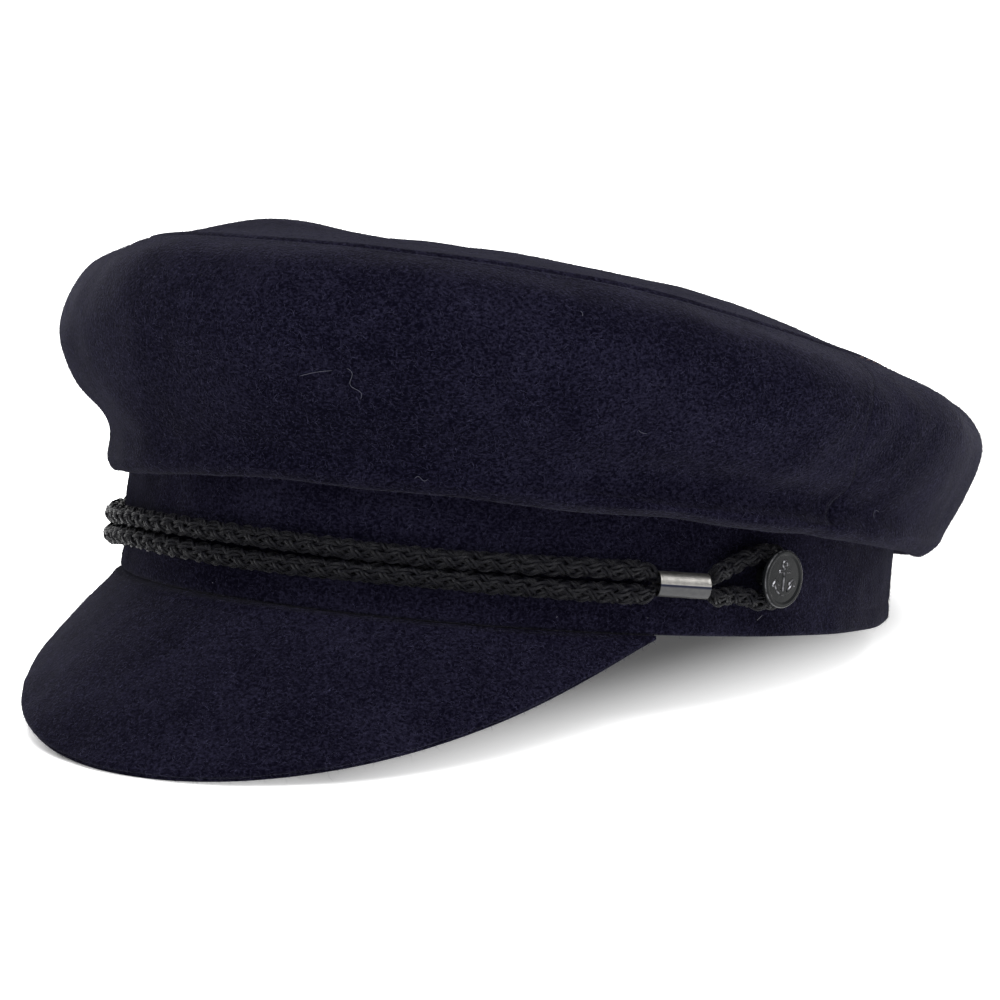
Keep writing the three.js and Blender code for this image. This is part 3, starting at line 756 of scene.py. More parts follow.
def closed_section_piece(name, outer, hidden, materials, joined):
    """A piece whose section runs along the outer skin, in the first material, and back along the
    hidden one, in the second. Where it isn't joined into a ring, each end is closed by a row of
    faces between the skins, each over one step of the hidden skin and the equal number of steps
    of the outer one."""
    rows_out, columns = outer.shape[:2]
    grid = np.concatenate([outer, hidden[::-1]])
    rows = len(grid)
    faces = grid_faces(rows, columns, close_rows=True, close_columns=joined).tolist()
    per_row = columns if joined else columns - 1
    numbers = np.repeat(np.where(np.arange(rows) < rows_out - 1, 0, 1), per_row).tolist()
    if not joined:
        cells = len(hidden) - 1
        steps = (rows_out - 1) // cells
        cell = np.arange(cells)[:, None]
        ends = [steps * cell + np.arange(steps + 1), rows - 2 - cell, rows - 1 - cell]
        corners = np.concatenate(ends, 1) * columns
        faces += corners[:, ::-1].tolist() + (corners + columns - 1).tolist()
        numbers += [0] * (2 * cells)
    return make_piece(name, grid, faces, materials, numbers)


def spikes(name, roots, middles, tips, width, look):
    """Closed three-sided fibres, each from a root through a bent middle to a tip. Rows of points:
    three round the root, three round the middle at most of the width, and the tip."""
    run = unit(tips - roots)
    side = unit(np.cross(run, [0.31, 0.52, 0.79]))
    other = np.cross(run, side)
    wide = width[:, None, None] * ring_directions(side, other, np.radians([90, 210, 330]))
    rings = [roots[:, None] + wide, middles[:, None] + 0.75 * wide, tips[:, None]]
    points = np.concatenate(rings, 1)
    lower = np.array([(0, 2, 1), (0, 1, 4), (0, 4, 3), (1, 2, 5), (1, 5, 4), (2, 0, 3), (2, 3, 5),
                      (3, 4, 6), (4, 5, 6), (5, 3, 6)])
    faces = (np.arange(len(roots)) * 7)[:, None, None] + lower[None]
    return make_piece(name, points, faces.reshape(-1, 3).tolist(), (look,), merge=False)


def ring_directions(side, other, turns):
    """Unit vectors round each point of a path: cos a times side plus sin a times other, which is
    square to it."""
    cos, sin = np.cos(turns)[:, None], np.sin(turns)[:, None]
    return cos * side[..., None, :] + sin * other[..., None, :]


def tube_faces(tubes, steps, sides):
    """Faces of closed tubes whose points are numbered by tube, then by ring, then round it."""
    first = (np.arange(tubes) * steps * sides)[:, None, None]
    walls = first + grid_faces(steps, sides, close_columns=True)[None]
    starts = first[:, 0] + np.arange(sides)[::-1]
    ends = first[:, 0] + (steps - 1) * sides + np.arange(sides)
    return walls.reshape(-1, 4).tolist() + starts.tolist() + ends.tolist()


def thin_tubes(name, paths, radius, look):
    """Closed five-sided tubes round paths of points, with rounded-off ends."""
    run = unit(np.gradient(paths, axis=1))
    side = unit(np.cross(run, [0.31, 0.52, 0.79]))
    ring = ring_directions(side, np.cross(run, side), np.linspace(0, TAU, 5, endpoint=False))
    share = np.linspace(-1, 1, paths.shape[1])
    thick = radius * np.sqrt(1.02 - share ** 8)
    points = paths[:, :, None] + thick[None, :, None, None] * ring
    return make_piece(name, points, tube_faces(*points.shape[:3]), (look,), merge=False)


def on_skin(skin, rows, columns):
    """Points of a grid at shares of its rows and columns, in proportion between its own points."""
    r, c = rows * (len(skin) - 1), columns * (skin.shape[1] - 1)
    i, j = np.floor(r).astype(int), np.floor(c).astype(int)
    u, v = (r - i)[..., None], (c - j)[..., None]
    near = (1 - v) * skin[i, j] + v * skin[i, j + 1]
    far = (1 - v) * skin[i + 1, j] + v * skin[i + 1, j + 1]
    return (1 - u) * near + u * far


def nap(name, skin, share, seed):
    """Loose fibres on a skin whose grid normals face outward: roots at random places, evenly by
    area and sunk in the cloth, lying over along the cap's lay with random turns."""
    wool = bpy.context.scene.cap_wool
    count = int(wool.nap_count * share)
    rng = np.random.default_rng(seed)
    normals = grid_normals(skin)
    down, across = skin[1:, :-1] - skin[:-1, :-1], skin[:-1, 1:] - skin[:-1, :-1]
    area = np.linalg.norm(np.cross(down, across), axis=-1)
    cell = rng.choice(area.size, count, p=area.ravel() / area.sum())
    row, column = np.divmod(cell, area.shape[1])
    u, v = rng.random((2, count, 1))
    beyond = v * skin[row + 1, column + 1] + (1 - v) * skin[row + 1, column]
    root = (1 - u) * skin[row, column] + u * beyond
    normal = normals[row, column]
    lay = unit(rng.normal(size=(count, 3)) * 0.8 + [0.5, 0.15, -0.45])
    lay = unit(lay - np.sum(lay * normal, -1, keepdims=True) * normal)
    bend = np.cross(normal, lay) * rng.normal(0, 0.25, (count, 1))
    length = wool.nap_length * rng.lognormal(0, 0.45, (count, 1)).clip(0.3, 3)
    rise = 0.14 * MM * rng.lognormal(0, 0.5, (count, 1)).clip(0.3, 3)
    middle = root + length * 0.5 * (lay + bend) + rise * normal
    tip = root + length * (lay - 0.3 * bend) + rise * rng.uniform(0.2, 1.6, (count, 1)) * normal
    width = 0.026 * MM * rng.uniform(0.6, 1.3, count)
    look = material("wool_fibre", fibre_material)
    spikes(name, root - 0.12 * MM * normal, middle, tip, width, look)


# Operators


class CAP_OT_crown(bpy.types.Operator):
    """Builds the crown: two sewn sides and the puffed tip"""

    bl_idname = "cap.crown"
    bl_label = "Crown"

    tucked_rows = 30

    def execute(self, context):
        sizes = context.scene.cap_sizes
        wool = material("wool_cloth", wool_material)
        lining = material("lining", lining_material)
        for name in ("crown_side_front", "crown_side_back"):
            outer, hidden = crown_side_skins(sizes, name.endswith("front"))
            piece = closed_section_piece("wool_" + name, outer, hidden,
                                         (wool, lining), joined=False)
            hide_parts(name)
            nap("nap_" + name, outer[self.tucked_rows:], 0.36, 31)
        self.tip(sizes, wool, lining)
        return {"FINISHED"}

    def tip(self, sizes, wool, lining):
        """The tip: its rim a little past the side's last row, and over it the puff,
        1 - share^2.2 of the way from the centre to the rim, with swellings."""
        columns = 520
        angles = np.linspace(0, 360, columns, endpoint=False)
        ends = np.array([1 - 1e-3, 1])
        rims = []
        for hidden in (False, True):
            last = crown_side(sizes, np.stack([angles, angles]), ends, hidden)
            rims.append(last[1] + sizes.clearance * 0.6 * unit(last[1] - last[0]))
        centre = rims[0].mean(0)
        half_width, half_length = half_axes(sizes)

        def skin(rim, shares, depth):
            points = centre + (rim - centre) * shares[:, None, None]
            across = (points[..., 0] - centre[0]) / half_width
            length = (points[..., 1] - centre[1]) / half_length
            swellings = sum(height * np.exp(-((across - x) ** 2 + (length - y) ** 2) / spread ** 2)
                            for x, y, spread, height in TIP_SWELLINGS)
            share = shares[:, None]
            swell = sizes.crease_depth * swellings * (1 - share ** 4)
            points[..., 2] += sizes.tip_puff * (1 - share ** 2.2) + swell - depth
            return points

        rings = np.linspace(1, 0, 112)[:-1] ** 0.85
        outer = skin(rims[0], rings, 0)
        normals = grid_normals(outer, closed_columns=True)
        to_rim = np.linalg.norm(outer - outer[:1], axis=-1)
        lift = wool_swell(outer) * (1 - np.exp(-to_rim / (8 * MM)))
        lift -= 0.6 * MM * bell(to_rim, 0, 0.7 * MM)
        lift += 0.45 * MM * bell(to_rim, 1.9 * MM, 1.1 * MM)
        outer = outer + lift[..., None] * normals
        under = np.linspace(0, 1, 15)[1:]
        hidden = skin(rims[0], under, sizes.crown_wall)
        hidden += (rims[1] - rims[0] + [0, 0, sizes.crown_wall]) * under[:, None, None] ** 4
        top = np.repeat(outer[-1:].mean(1, keepdims=True), columns, 1)
        base = np.repeat(hidden[:1].mean(1, keepdims=True), columns, 1)
        piece = closed_section_piece("wool_crown_tip", np.concatenate([outer, top]),
                                     np.concatenate([base, hidden])[::-1],
                                     (wool, lining), joined=True)
        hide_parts("crown_tip")
        nap("nap_crown_tip", outer, 0.22, 32)
        self.tape(rims[1][::2] - 0.4 * MM * np.array([0, 0, 1]), centre, lining)

    def tape(self, path, centre, lining):
        """The round tape that covers the tip's seam inside the crown: a circle carried round it."""
        outward = unit((path - centre) * [1, 1, 0])
        turns = np.linspace(0, TAU, 10, endpoint=False)
        ring = ring_directions(outward, np.broadcast_to([0.0, 0, 1], path.shape), turns)
        grid = (path - 0.4 * MM * outward)[:, None] + 0.95 * MM * ring
        faces = grid_faces(len(path), len(turns), close_rows=True, close_columns=True)
        make_piece("seam_tape", grid, faces.tolist(), (lining,))


class CAP_OT_band(bpy.types.Operator):
    """Builds the upright band with its folded edge, and the sweatband inside it"""

    bl_idname = "cap.band"
    bl_label = "Band"

    def execute(self, context):
        sizes = context.scene.cap_sizes
        wool = material("wool_cloth", wool_material)
        columns = 900
        angles = np.linspace(0, 360, columns, endpoint=False)
        edge = 1.2 * MM
        bend = np.radians(np.linspace(0, 90, 7))
        wall, height = sizes.band_wall, sizes.band_height

        def corner(out, up, start):
            turn = start + bend
            return np.stack([out + edge * np.cos(turn), up + edge * np.sin(turn)], -1)

        face = np.stack([np.zeros(44), np.linspace(edge, height - edge, 46)[1:-1]], -1)
        back = np.stack([np.full(10, -wall), np.linspace(height - edge, edge, 12)[1:-1]], -1)
        profile = np.concatenate([
            corner(-edge, edge, -math.pi / 2), face,
            corner(-edge, height - edge, 0), corner(edge - wall, height - edge, math.pi / 2), back,
            corner(edge - wall, edge, math.pi),
        ])
        grid = off_band(sizes, angles[None, :], profile[:, :1], profile[:, 1:])
        outward = band_normal(sizes, angles)[None]
        facing = np.clip((profile[:, 0] + wall) / wall, 0, 1)[:, None]
        swell = 0.3 * MM * soft_field(grid, 30 * MM, 11) + 0.1 * MM * soft_field(grid, 9 * MM, 12)
        from_seam = np.abs(np.radians(180 - angles) * (sizes.head_length / 2))
        seam = (-0.5 * MM * bell(from_seam, 0, 0.6 * MM)
                + 0.15 * MM * bell(from_seam, 2 * MM, 1.2 * MM))
        stitched = -0.22 * MM * bell(profile[:, 1], 4.6 * MM, 0.7 * MM)[:, None]
        grid = grid + ((swell + seam[None] + stitched) * facing)[..., None] * outward
        grid[..., 2] -= 0.28 * MM * bell(profile[:, 1], 0, 1.5 * MM)[:, None]
        faces = grid_faces(len(profile), columns, close_rows=True, close_columns=True)
        piece = make_piece("wool_band", grid, faces.tolist(), (wool,))
        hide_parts("band")
        nap("nap_band", grid[3:46], 0.2, 33)
        self.sweatband(sizes)
        return {"FINISHED"}

    def sweatband(self, sizes):
        """A thin strip inside the band, that ripples slightly."""
        angles = np.linspace(0, 360, 360, endpoint=False)
        thick, low, high = 0.7 * MM, 1.6 * MM, 27 * MM
        face = -sizes.band_wall - sizes.clearance
        ups = np.linspace(low, high, 18)
        shade = np.stack([np.full(18, face), ups], -1)
        inner = np.stack([np.full(18, face - thick), ups[::-1]], -1)
        profile = np.concatenate([shade, inner])
        grid = off_band(sizes, angles[None, :], profile[:, :1], profile[:, 1:])
        ripple = 0.12 * MM * soft_field(grid, 22 * MM, 15)
        grid = grid - np.abs(ripple)[..., None] * band_normal(sizes, angles)[None]
        faces = grid_faces(len(profile), len(angles), close_rows=True, close_columns=True)
        lining = material("lining", lining_material)
        make_piece("sweatband", grid, faces.tolist(), (lining,))


class CAP_OT_peak(bpy.types.Operator):
    """Builds the stiff peak: two layers of cloth whose edges meet in a fine groove round the lip"""

    bl_idname = "cap.peak"
    bl_label = "Peak"

    half_angle, front_slope, side_slope = 60.6, 42, 52
    taper, fan, end_share = 1.14, 0.71, 0.4

    def execute(self, context):
        sizes = context.scene.cap_sizes
        t = np.linspace(-1, 1, 560)
        share = np.sign(t) * (1 - (1 - np.abs(t)) ** 1.25)
        angles = self.half_angle * share
        edge = 0.8 * MM
        narrowing = np.maximum(0, np.cos(math.pi / 2 * share)) ** self.taper
        reach = edge + (sizes.peak_reach - edge) * narrowing
        slope = np.radians(self.front_slope + (self.side_slope - self.front_slope) * share ** 2)
        swell = 0.3 * MM * (1 - share ** 2)
        full = np.sqrt(np.maximum(0, 1 - share ** 2))
        wall = sizes.peak_wall * (self.end_share + (1 - self.end_share) * full)
        normal = band_normal(sizes, angles)
        turn = self.fan * np.arctan2(normal[:, 0], -normal[:, 1])
        forward = np.stack([np.sin(turn), -np.cos(turn), np.zeros_like(turn)], -1)
        foot = off_band(sizes, angles, 0.0, -sizes.clearance)

        def place(out, below):
            run = out * np.cos(slope) - below * np.sin(slope)
            down = out * np.sin(slope) + below * np.cos(slope)
            points = foot[None] + run[..., None] * forward[None]
            points[..., 2] -= down
            return points

        top_rows = 84
        rows = np.linspace(0, 1, top_rows)[:, None]
        straight = reach - edge
        from_band = rows * straight
        roll = (0.35 * MM * bell(from_band, 1.9 * MM, 1.1 * MM)
                - 0.3 * MM * bell(from_band, 0, 0.8 * MM))
        lift = swell * np.sin(math.pi * rows) + roll * np.clip(straight / (12 * MM), 0, 1)
        top = place(from_band, -lift)
        upper, lower = 0.56, 0.44
        bend = np.radians(np.linspace(0, 180, 15))[1:-1, None]
        nose_top = place(straight + edge * np.sin(bend), wall * upper / 2 * (1 - np.cos(bend)))
        groove = place((straight + 0.12 * edge)[None], (wall * upper)[None])
        nose_low = place(straight + 0.75 * edge * np.sin(bend),
                         wall * upper + wall * lower / 2 * (1 - np.cos(bend)))
        back = np.linspace(1, 0, 22)[:, None]
        under = place(back * straight, wall - swell * np.sin(math.pi * back))
        root = off_band(sizes, angles, 0.8 * MM - sizes.band_wall, -sizes.clearance)[None]
        outer = np.concatenate([top, nose_top, groove, nose_low])
        normals = grid_normals(outer)
        soft = (0.16 * MM * soft_field(outer, 24 * MM, 21)
                + 0.06 * MM * soft_field(outer, 8 * MM, 22))
        fade = np.concatenate([np.linspace(0, 1, top_rows) ** 0.5,
                               np.linspace(1, 0, len(outer) - top_rows)])
        outer = outer + (soft * fade[:, None])[..., None] * normals
        grid = np.concatenate([root, outer, under])
        rows = len(grid)
        faces = grid_faces(rows, len(angles), close_rows=True).tolist()
        for column in (0, len(angles) - 1):
            corners = (np.arange(rows) * len(angles) + column).tolist()
            faces.append(corners if column else corners[::-1])
        wool = material("wool_cloth", wool_material)
        piece = make_piece("wool_peak", grid, faces, (wool,))
        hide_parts("peak")
        nap("nap_peak", outer[:, ::-1], 0.2, 34)
        return {"FINISHED"}


# Cord


def ferrule_out(sizes, metal, share):
    """How far a ferrule's axis stands off the band: share is -0.5 at its front end, 0.5 at its
    rear."""
    return metal.ferrule_diameter / 2 + sizes.clearance + metal.ferrule_lift * (share + 0.5)


def strand_stations():
    """The upper strand's stations from the front to the wearer's left button, as rows of angle,
    out, middle height, spread, half height, half depth and share of the drop."""
    sizes, _, cord, metal = of_cap()
    half = cord.thickness / 2
    out = half + sizes.clearance
    bore = metal.ferrule_diameter / 2 - metal.ferrule_wall
    at = math.degrees(metal.ferrule_angle)
    end = degrees_for(sizes, metal.ferrule_length / 2, at)
    mouth = degrees_for(sizes, 1 * MM, at)
    loop = metal.shank_diameter / 2 + sizes.clearance + half
    button = math.degrees(metal.button_angle)
    per_loop = degrees_for(sizes, loop, button)
    rows = [(angle, out, cord.height, cord.pitch / 2 * spread, half, half, dropped)
            for angle, dropped, spread in STRAND_STATIONS]
    rows.append((at - end - 3 * mouth, out + 0.2 * MM, cord.height,
                 cord.pitch / 2 * 0.97, half, half, 1))
    rows.append((at - end - 0.4 * mouth, ferrule_out(sizes, metal, -0.5), cord.height,
                 bore * 0.5, bore * 0.5, bore * 0.7, 1))
    for side in (-0.5, 0, 0.5):
        rows.append((at + 2 * side * end, ferrule_out(sizes, metal, side), cord.height,
                     bore * 0.47, bore * 0.42, bore * 0.72, 1))
    rows.append((at + end + 2.2 * mouth, ferrule_out(sizes, metal, 0.5), cord.height + 0.3 * MM,
                 0.56 * half * 2, half * 0.88, half * 0.88, 1))
    rise = metal.button_height - cord.height
    rows += [(button + beyond * per_loop, out, cord.height + rise * lift,
              spread * loop, half * 0.95, half * 0.95, 1) for beyond, spread, lift in LOOP_STATIONS]
    return np.array(rows)


def strand_path(level, step):
    """One strand from behind the wearer's right button across the front to behind the left one:
    a Catmull-Rom curve through the stations, sampled at even steps of length. Returns its centres,
    its directions sideways and outward, half its height, half its depth and the lengths."""
    sizes, _, cord, _ = of_cap()
    left = strand_stations()
    right = left[:0:-1].copy()
    right[:, 0] *= -1
    right[:, 2] -= cord.drop * right[:, 6]
    stations = np.concatenate([right, left])
    fine = along(stations, np.linspace(0, 1, 4000))
    centres = off_band(sizes, fine[:, 0], fine[:, 1], fine[:, 2] + level * fine[:, 3])
    length = np.concatenate([[0], np.cumsum(np.linalg.norm(np.diff(centres, axis=0), axis=1))])
    even = np.linspace(0, length[-1], int(length[-1] / step))

    def sample(column):
        return np.interp(even, length, column)

    centres = np.stack([sample(centres[:, axis]) for axis in range(3)], -1)
    outward = band_normal(sizes, sample(fine[:, 0]))
    ahead = unit(np.gradient(centres, axis=0))
    side = unit(np.cross(ahead, outward))
    outward = np.cross(side, ahead)
    return centres, side, outward, sample(fine[:, 4]), sample(fine[:, 5]), even


class CAP_OT_cord(bpy.types.Operator):
    """Braids the two strands of the cord, each from eight yarns of three plies"""

    bl_idname = "cap.cord"
    bl_label = "Braided cord"

    carriers, plies, sides, twist = 8, 3, 6, 7.5 * MM

    def execute(self, context):
        for name, level, phase in (("braid_upper", 1, 0.3), ("braid_lower", -1, 1.5)):
            self.braid(name, level, phase)
        return {"FINISHED"}

    def braid(self, name, level, phase):
        """Yarn k turns round the strand by a = +-w s + phase, and its distance from the middle
        swings by cos(4 w s), so that it passes over and under the yarns that turn the other way.
        Its plies wind round its flattened middle."""
        _, _, cord, _ = of_cap()
        centres, side, outward, tall, deep, even = strand_path(level, 0.5 * MM)
        rng = np.random.default_rng(int(50 + phase * 10))
        rate = TAU / (self.carriers / 2) / cord.stitch
        yarn = np.arange(self.carriers)
        hand = np.where(yarn % 2, -1, 1)[:, None]
        first = (TAU / (self.carriers / 2) * (yarn // 2))[:, None]
        wander = np.stack([0.08 * np.sin(TAU * even / rng.uniform(9, 23) / MM + rng.uniform(0, TAU))
                           for _ in yarn])
        turn = rate * even + phase
        angle = hand * turn + first + TAU / 16 + wander
        over = hand * np.cos(self.carriers / 2 * turn)
        radius = 0.62 + 0.15 * over + 0.03 * np.sin(TAU * even / (7 * MM) + 2 * yarn[:, None])
        across, radial, path = self.frames(centres, side, outward, tall, deep, angle, radius)
        scale = ((tall + deep) / 2)[None, :, None]
        turns = np.linspace(0, TAU, self.sides, endpoint=False)
        ring = ring_directions(across, radial, turns)
        plies = []
        for ply in range(self.plies):
            twist = TAU * (even / self.twist + ply / self.plies) + 1.7 * yarn[:, None]
            middle = path + scale * (0.23 * np.cos(twist)[..., None] * across
                                     + 0.12 * np.sin(twist)[..., None] * radial)
            plies.append(middle[:, :, None] + 0.14 * scale[..., None] * ring)
        points = np.concatenate(plies)
        faces = tube_faces(*points.shape[:3])
        flow = np.zeros(points.shape, np.float32)
        flow[..., 0] = even[None, :, None]
        flow[..., 1] = turns[None, None, :]
        yarns = material("braid_yarn", braid_material)
        piece = make_piece(name, points, faces, (yarns,),
                           vectors=flow.reshape(-1, 3), merge=False)
        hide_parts("braid_cord")

    def frames(self, centres, side, outward, tall, deep, angle, radius):
        """The yarns' directions across and out of the strand, and their paths."""
        cos, sin = np.cos(angle), np.sin(angle)
        path = (centres[None] + (tall * radius * cos)[..., None] * side[None]
                + (deep * radius * sin)[..., None] * outward[None])
        run = unit(np.gradient(path, axis=1))
        radial = unit(cos[..., None] * side[None] + sin[..., None] * outward[None])
        across = unit(np.cross(radial, run))
        return across, np.cross(run, across), path


class CAP_OT_trim(bpy.types.Operator):
    """Sews the brown bar tacks beside the peak and the thread at the rear, and lays loose hairs"""

    bl_idname = "cap.trim"
    bl_label = "Stitches and hairs"

    def execute(self, context):
        sizes = context.scene.cap_sizes
        self.tacks(sizes)
        self.hairs(sizes)
        self.lint(sizes)
        return {"FINISHED"}

    def tacks(self, sizes):
        """Stitches beside the peak's ends and in the tip seam: arches that rise out of the cloth as
        half sine waves."""
        t = np.linspace(0, 1, 9)
        arch = np.sin(math.pi * t)
        starts = np.concatenate([side * np.linspace(60.2, 67.4, 6) for side in (1, -1)])
        angles = starts[:, None] + np.sign(starts)[:, None] * 0.95 * t
        heights = (2.7 + 0.25 * np.sin(2.1 * starts[:, None]) + 0.25 * (t - 0.5)) * MM
        band = off_band(sizes, angles, (0.22 * arch - 0.12) * MM, heights)
        starts = np.linspace(92, 101, 6)
        angles = starts[:, None] + 1.1 * t
        two_rows = np.repeat(angles.reshape(1, -1), 2, 0)
        rim = crown_side(sizes, two_rows, np.array([0.975, 0.985]))[1].reshape(*angles.shape, 3)
        away = 0.6 * band_normal(sizes, angles) + [0, 0, 0.8]
        rim = rim + ((0.55 * arch - 0.1) * MM)[:, None] * away
        brown = material("brown_thread", thread_material, (0.085, 0.036, 0.026))
        thin_tubes("stitches", np.concatenate([band, rim]), 0.12 * MM, brown)

    def hairs(self, sizes):
        """Single hairs that lie on the crown's sides."""
        t = np.linspace(0, 1, 25)
        pale = material("loose_hair", thread_material, (0.042, 0.042, 0.066))
        for back in (0, 1):
            skin, _ = crown_side_skins(sizes, not back)
            table = np.array([row[1:] for row in HAIRS if row[0] == back])[:, :, None]
            rows = table[:, 0] + (table[:, 2] - table[:, 0]) * t
            columns = table[:, 1] + (table[:, 3] - table[:, 1]) * t
            path = on_skin(skin, rows, columns)
            normal = on_skin(grid_normals(skin), rows, columns)
            side = unit(np.cross(normal, unit(np.gradient(path, axis=1))))
            bow = table[:, 4] * MM * np.sin(math.pi * table[:, 5] * t)
            path = path + bow[..., None] * side + 0.12 * MM * normal
            thin_tubes("hairs_back" if back else "hairs_front", path, 0.045 * MM, pale)
            if not back:
                self.seam_shade_threads(skin)

    def seam_shade_threads(self, skin):
        """Dark thread tubes along both edges of the front skin, from over the fold up: painted
        shade that stands for the shadow in the side seams' grooves.
        """
        columns = np.array([[0.0], [0.9999]])
        rows = np.linspace(0.45, 0.985, 120)[None] + 0 * columns
        columns = columns + 0 * rows
        path = on_skin(skin, rows, columns)
        path = path - 0.05 * MM * on_skin(grid_normals(skin), rows, columns)
        # Near-black thread tubes laid in the seams: painted shade of the seam grooves.
        painted_seam_shade = material("black_thread", thread_material, (0.0008, 0.0008, 0.0014), 0.02)
        thin_tubes("seam_shade_threads", path, 0.12 * MM, painted_seam_shade)

    def lint(self, sizes):
        """Specks of lint on the band."""
        height, angle, length = np.array(LINT).T[:, :, None]
        t = np.linspace(-0.5, 0.5, 7)
        turn = np.degrees(length * MM / (sizes.head_length / 2)) * t
        path = off_band(sizes, angle + 0.8 * turn, 0.12 * MM, (height + 0.6 * length * t) * MM)
        white = material("lint", thread_material, (0.09, 0.09, 0.11))
        thin_tubes("lint", path, 0.06 * MM, white)


# Metal


def revolve(profile, turns):
    """A profile of (along, radius) turned about the first axis: points (profile, turns, 3)."""
    return np.stack([
        np.repeat(profile[:, :1], len(turns), 1),
        profile[:, 1:] * np.cos(turns),
        profile[:, 1:] * np.sin(turns),
    ], -1)


class CAP_OT_ferrules(bpy.types.Operator):
    """Turns the two steel ferrules that hold the strands together"""

    bl_idname = "cap.ferrules"
    bl_label = "Ferrules"

    def execute(self, context):
        sizes, _, cord, metal = of_cap()
        steel = material("steel_tube", steel_material)
        up = np.array([0.0, 0.0, 1.0])
        at = math.degrees(metal.ferrule_angle)
        radius, wall = metal.ferrule_diameter / 2, metal.ferrule_wall
        turns = TAU * np.linspace(-0.5, 0.5, 144, endpoint=False)
        profile = self.profile(metal.ferrule_length / 2, radius, wall)
        local = revolve(profile, turns)
        outer = np.hypot(local[..., 1], local[..., 2]) > radius - wall / 2
        local[..., 1] -= 0.07 * MM * outer * bell(turns, 0, 0.07)
        flow = np.zeros(local.shape)
        flow[..., 0], flow[..., 1] = local[..., 0], turns
        faces = grid_faces(len(profile), len(turns), close_rows=True, close_columns=True).tolist()
        for name, side in (("ferrule_left", 1), ("ferrule_right", -1)):
            height = cord.height - (cord.drop if side < 0 else 0)
            shares = np.array([-0.5, 0, 0.5])
            angles = [at + degrees_for(sizes, share * metal.ferrule_length, at) for share in shares]
            front, middle, rear = off_band(sizes, side * np.array(angles),
                                           ferrule_out(sizes, metal, shares), height)
            axis = unit(rear - front)
            out = side * np.cross(axis, up)
            points = middle + local @ np.stack([axis, out, up])
            piece = make_piece("tube_" + name, points, faces, (steel,),
                               vectors=flow.reshape(-1, 3))
            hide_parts(name)
        return {"FINISHED"}

    def profile(self, half, radius, wall):
        """The tube's wall as (along, radius): straight outside and inside, with round lips, and
        waisted slightly outside."""
        lip = np.radians(np.linspace(0, 180, 9))
        mouth = np.stack([half - wall / 2 + wall / 2 * np.sin(lip),
                          radius - wall / 2 + wall / 2 * np.cos(lip)], -1)
        body = np.stack([np.linspace(-half + wall, half - wall, 24), np.full(24, radius)], -1)
        body[:, 1] -= 0.03 * MM * np.cos(body[:, 0] / half * math.pi) ** 2
        inner = np.linspace(half - wall, -half + wall, 8)
        inner = np.stack([inner, np.full(8, radius - wall)], -1)
        return np.concatenate([body, mouth, inner, mouth[::-1] * [-1, 1]])


def anchor_relief(x, y):
    """Height, from 0 to 1, of a plain anchor on a disc of radius 1: a shank, a stock, a ring and
    two curved arms with flukes. Each is a distance to a line or arc, and the nearest one counts."""
    def line(x0, y0, x1, y1, half):
        run, rise = x1 - x0, y1 - y0
        t = np.clip(((x - x0) * run + (y - y0) * rise) / (run ** 2 + rise ** 2), 0, 1)
        return np.hypot(x - x0 - t * run, y - y0 - t * rise) - half

    ring = np.abs(np.hypot(x, y - 0.5) - 0.11) - 0.045
    arc = np.where(y < -0.08, np.abs(np.hypot(x, y + 0.02) - 0.46) - 0.07, 9.0)
    parts = [ring, arc, line(0, 0.4, 0, -0.46, 0.065), line(-0.27, 0.27, 0.27, 0.27, 0.05)]
    for side in (-1, 1):
        parts.append(line(side * 0.46, -0.06, side * 0.3, -0.16, 0.055))
        parts.append(line(side * 0.46, -0.06, side * 0.56, -0.2, 0.055))
    return np.clip(0.5 - np.min(parts, axis=0) / 0.06, 0, 1)


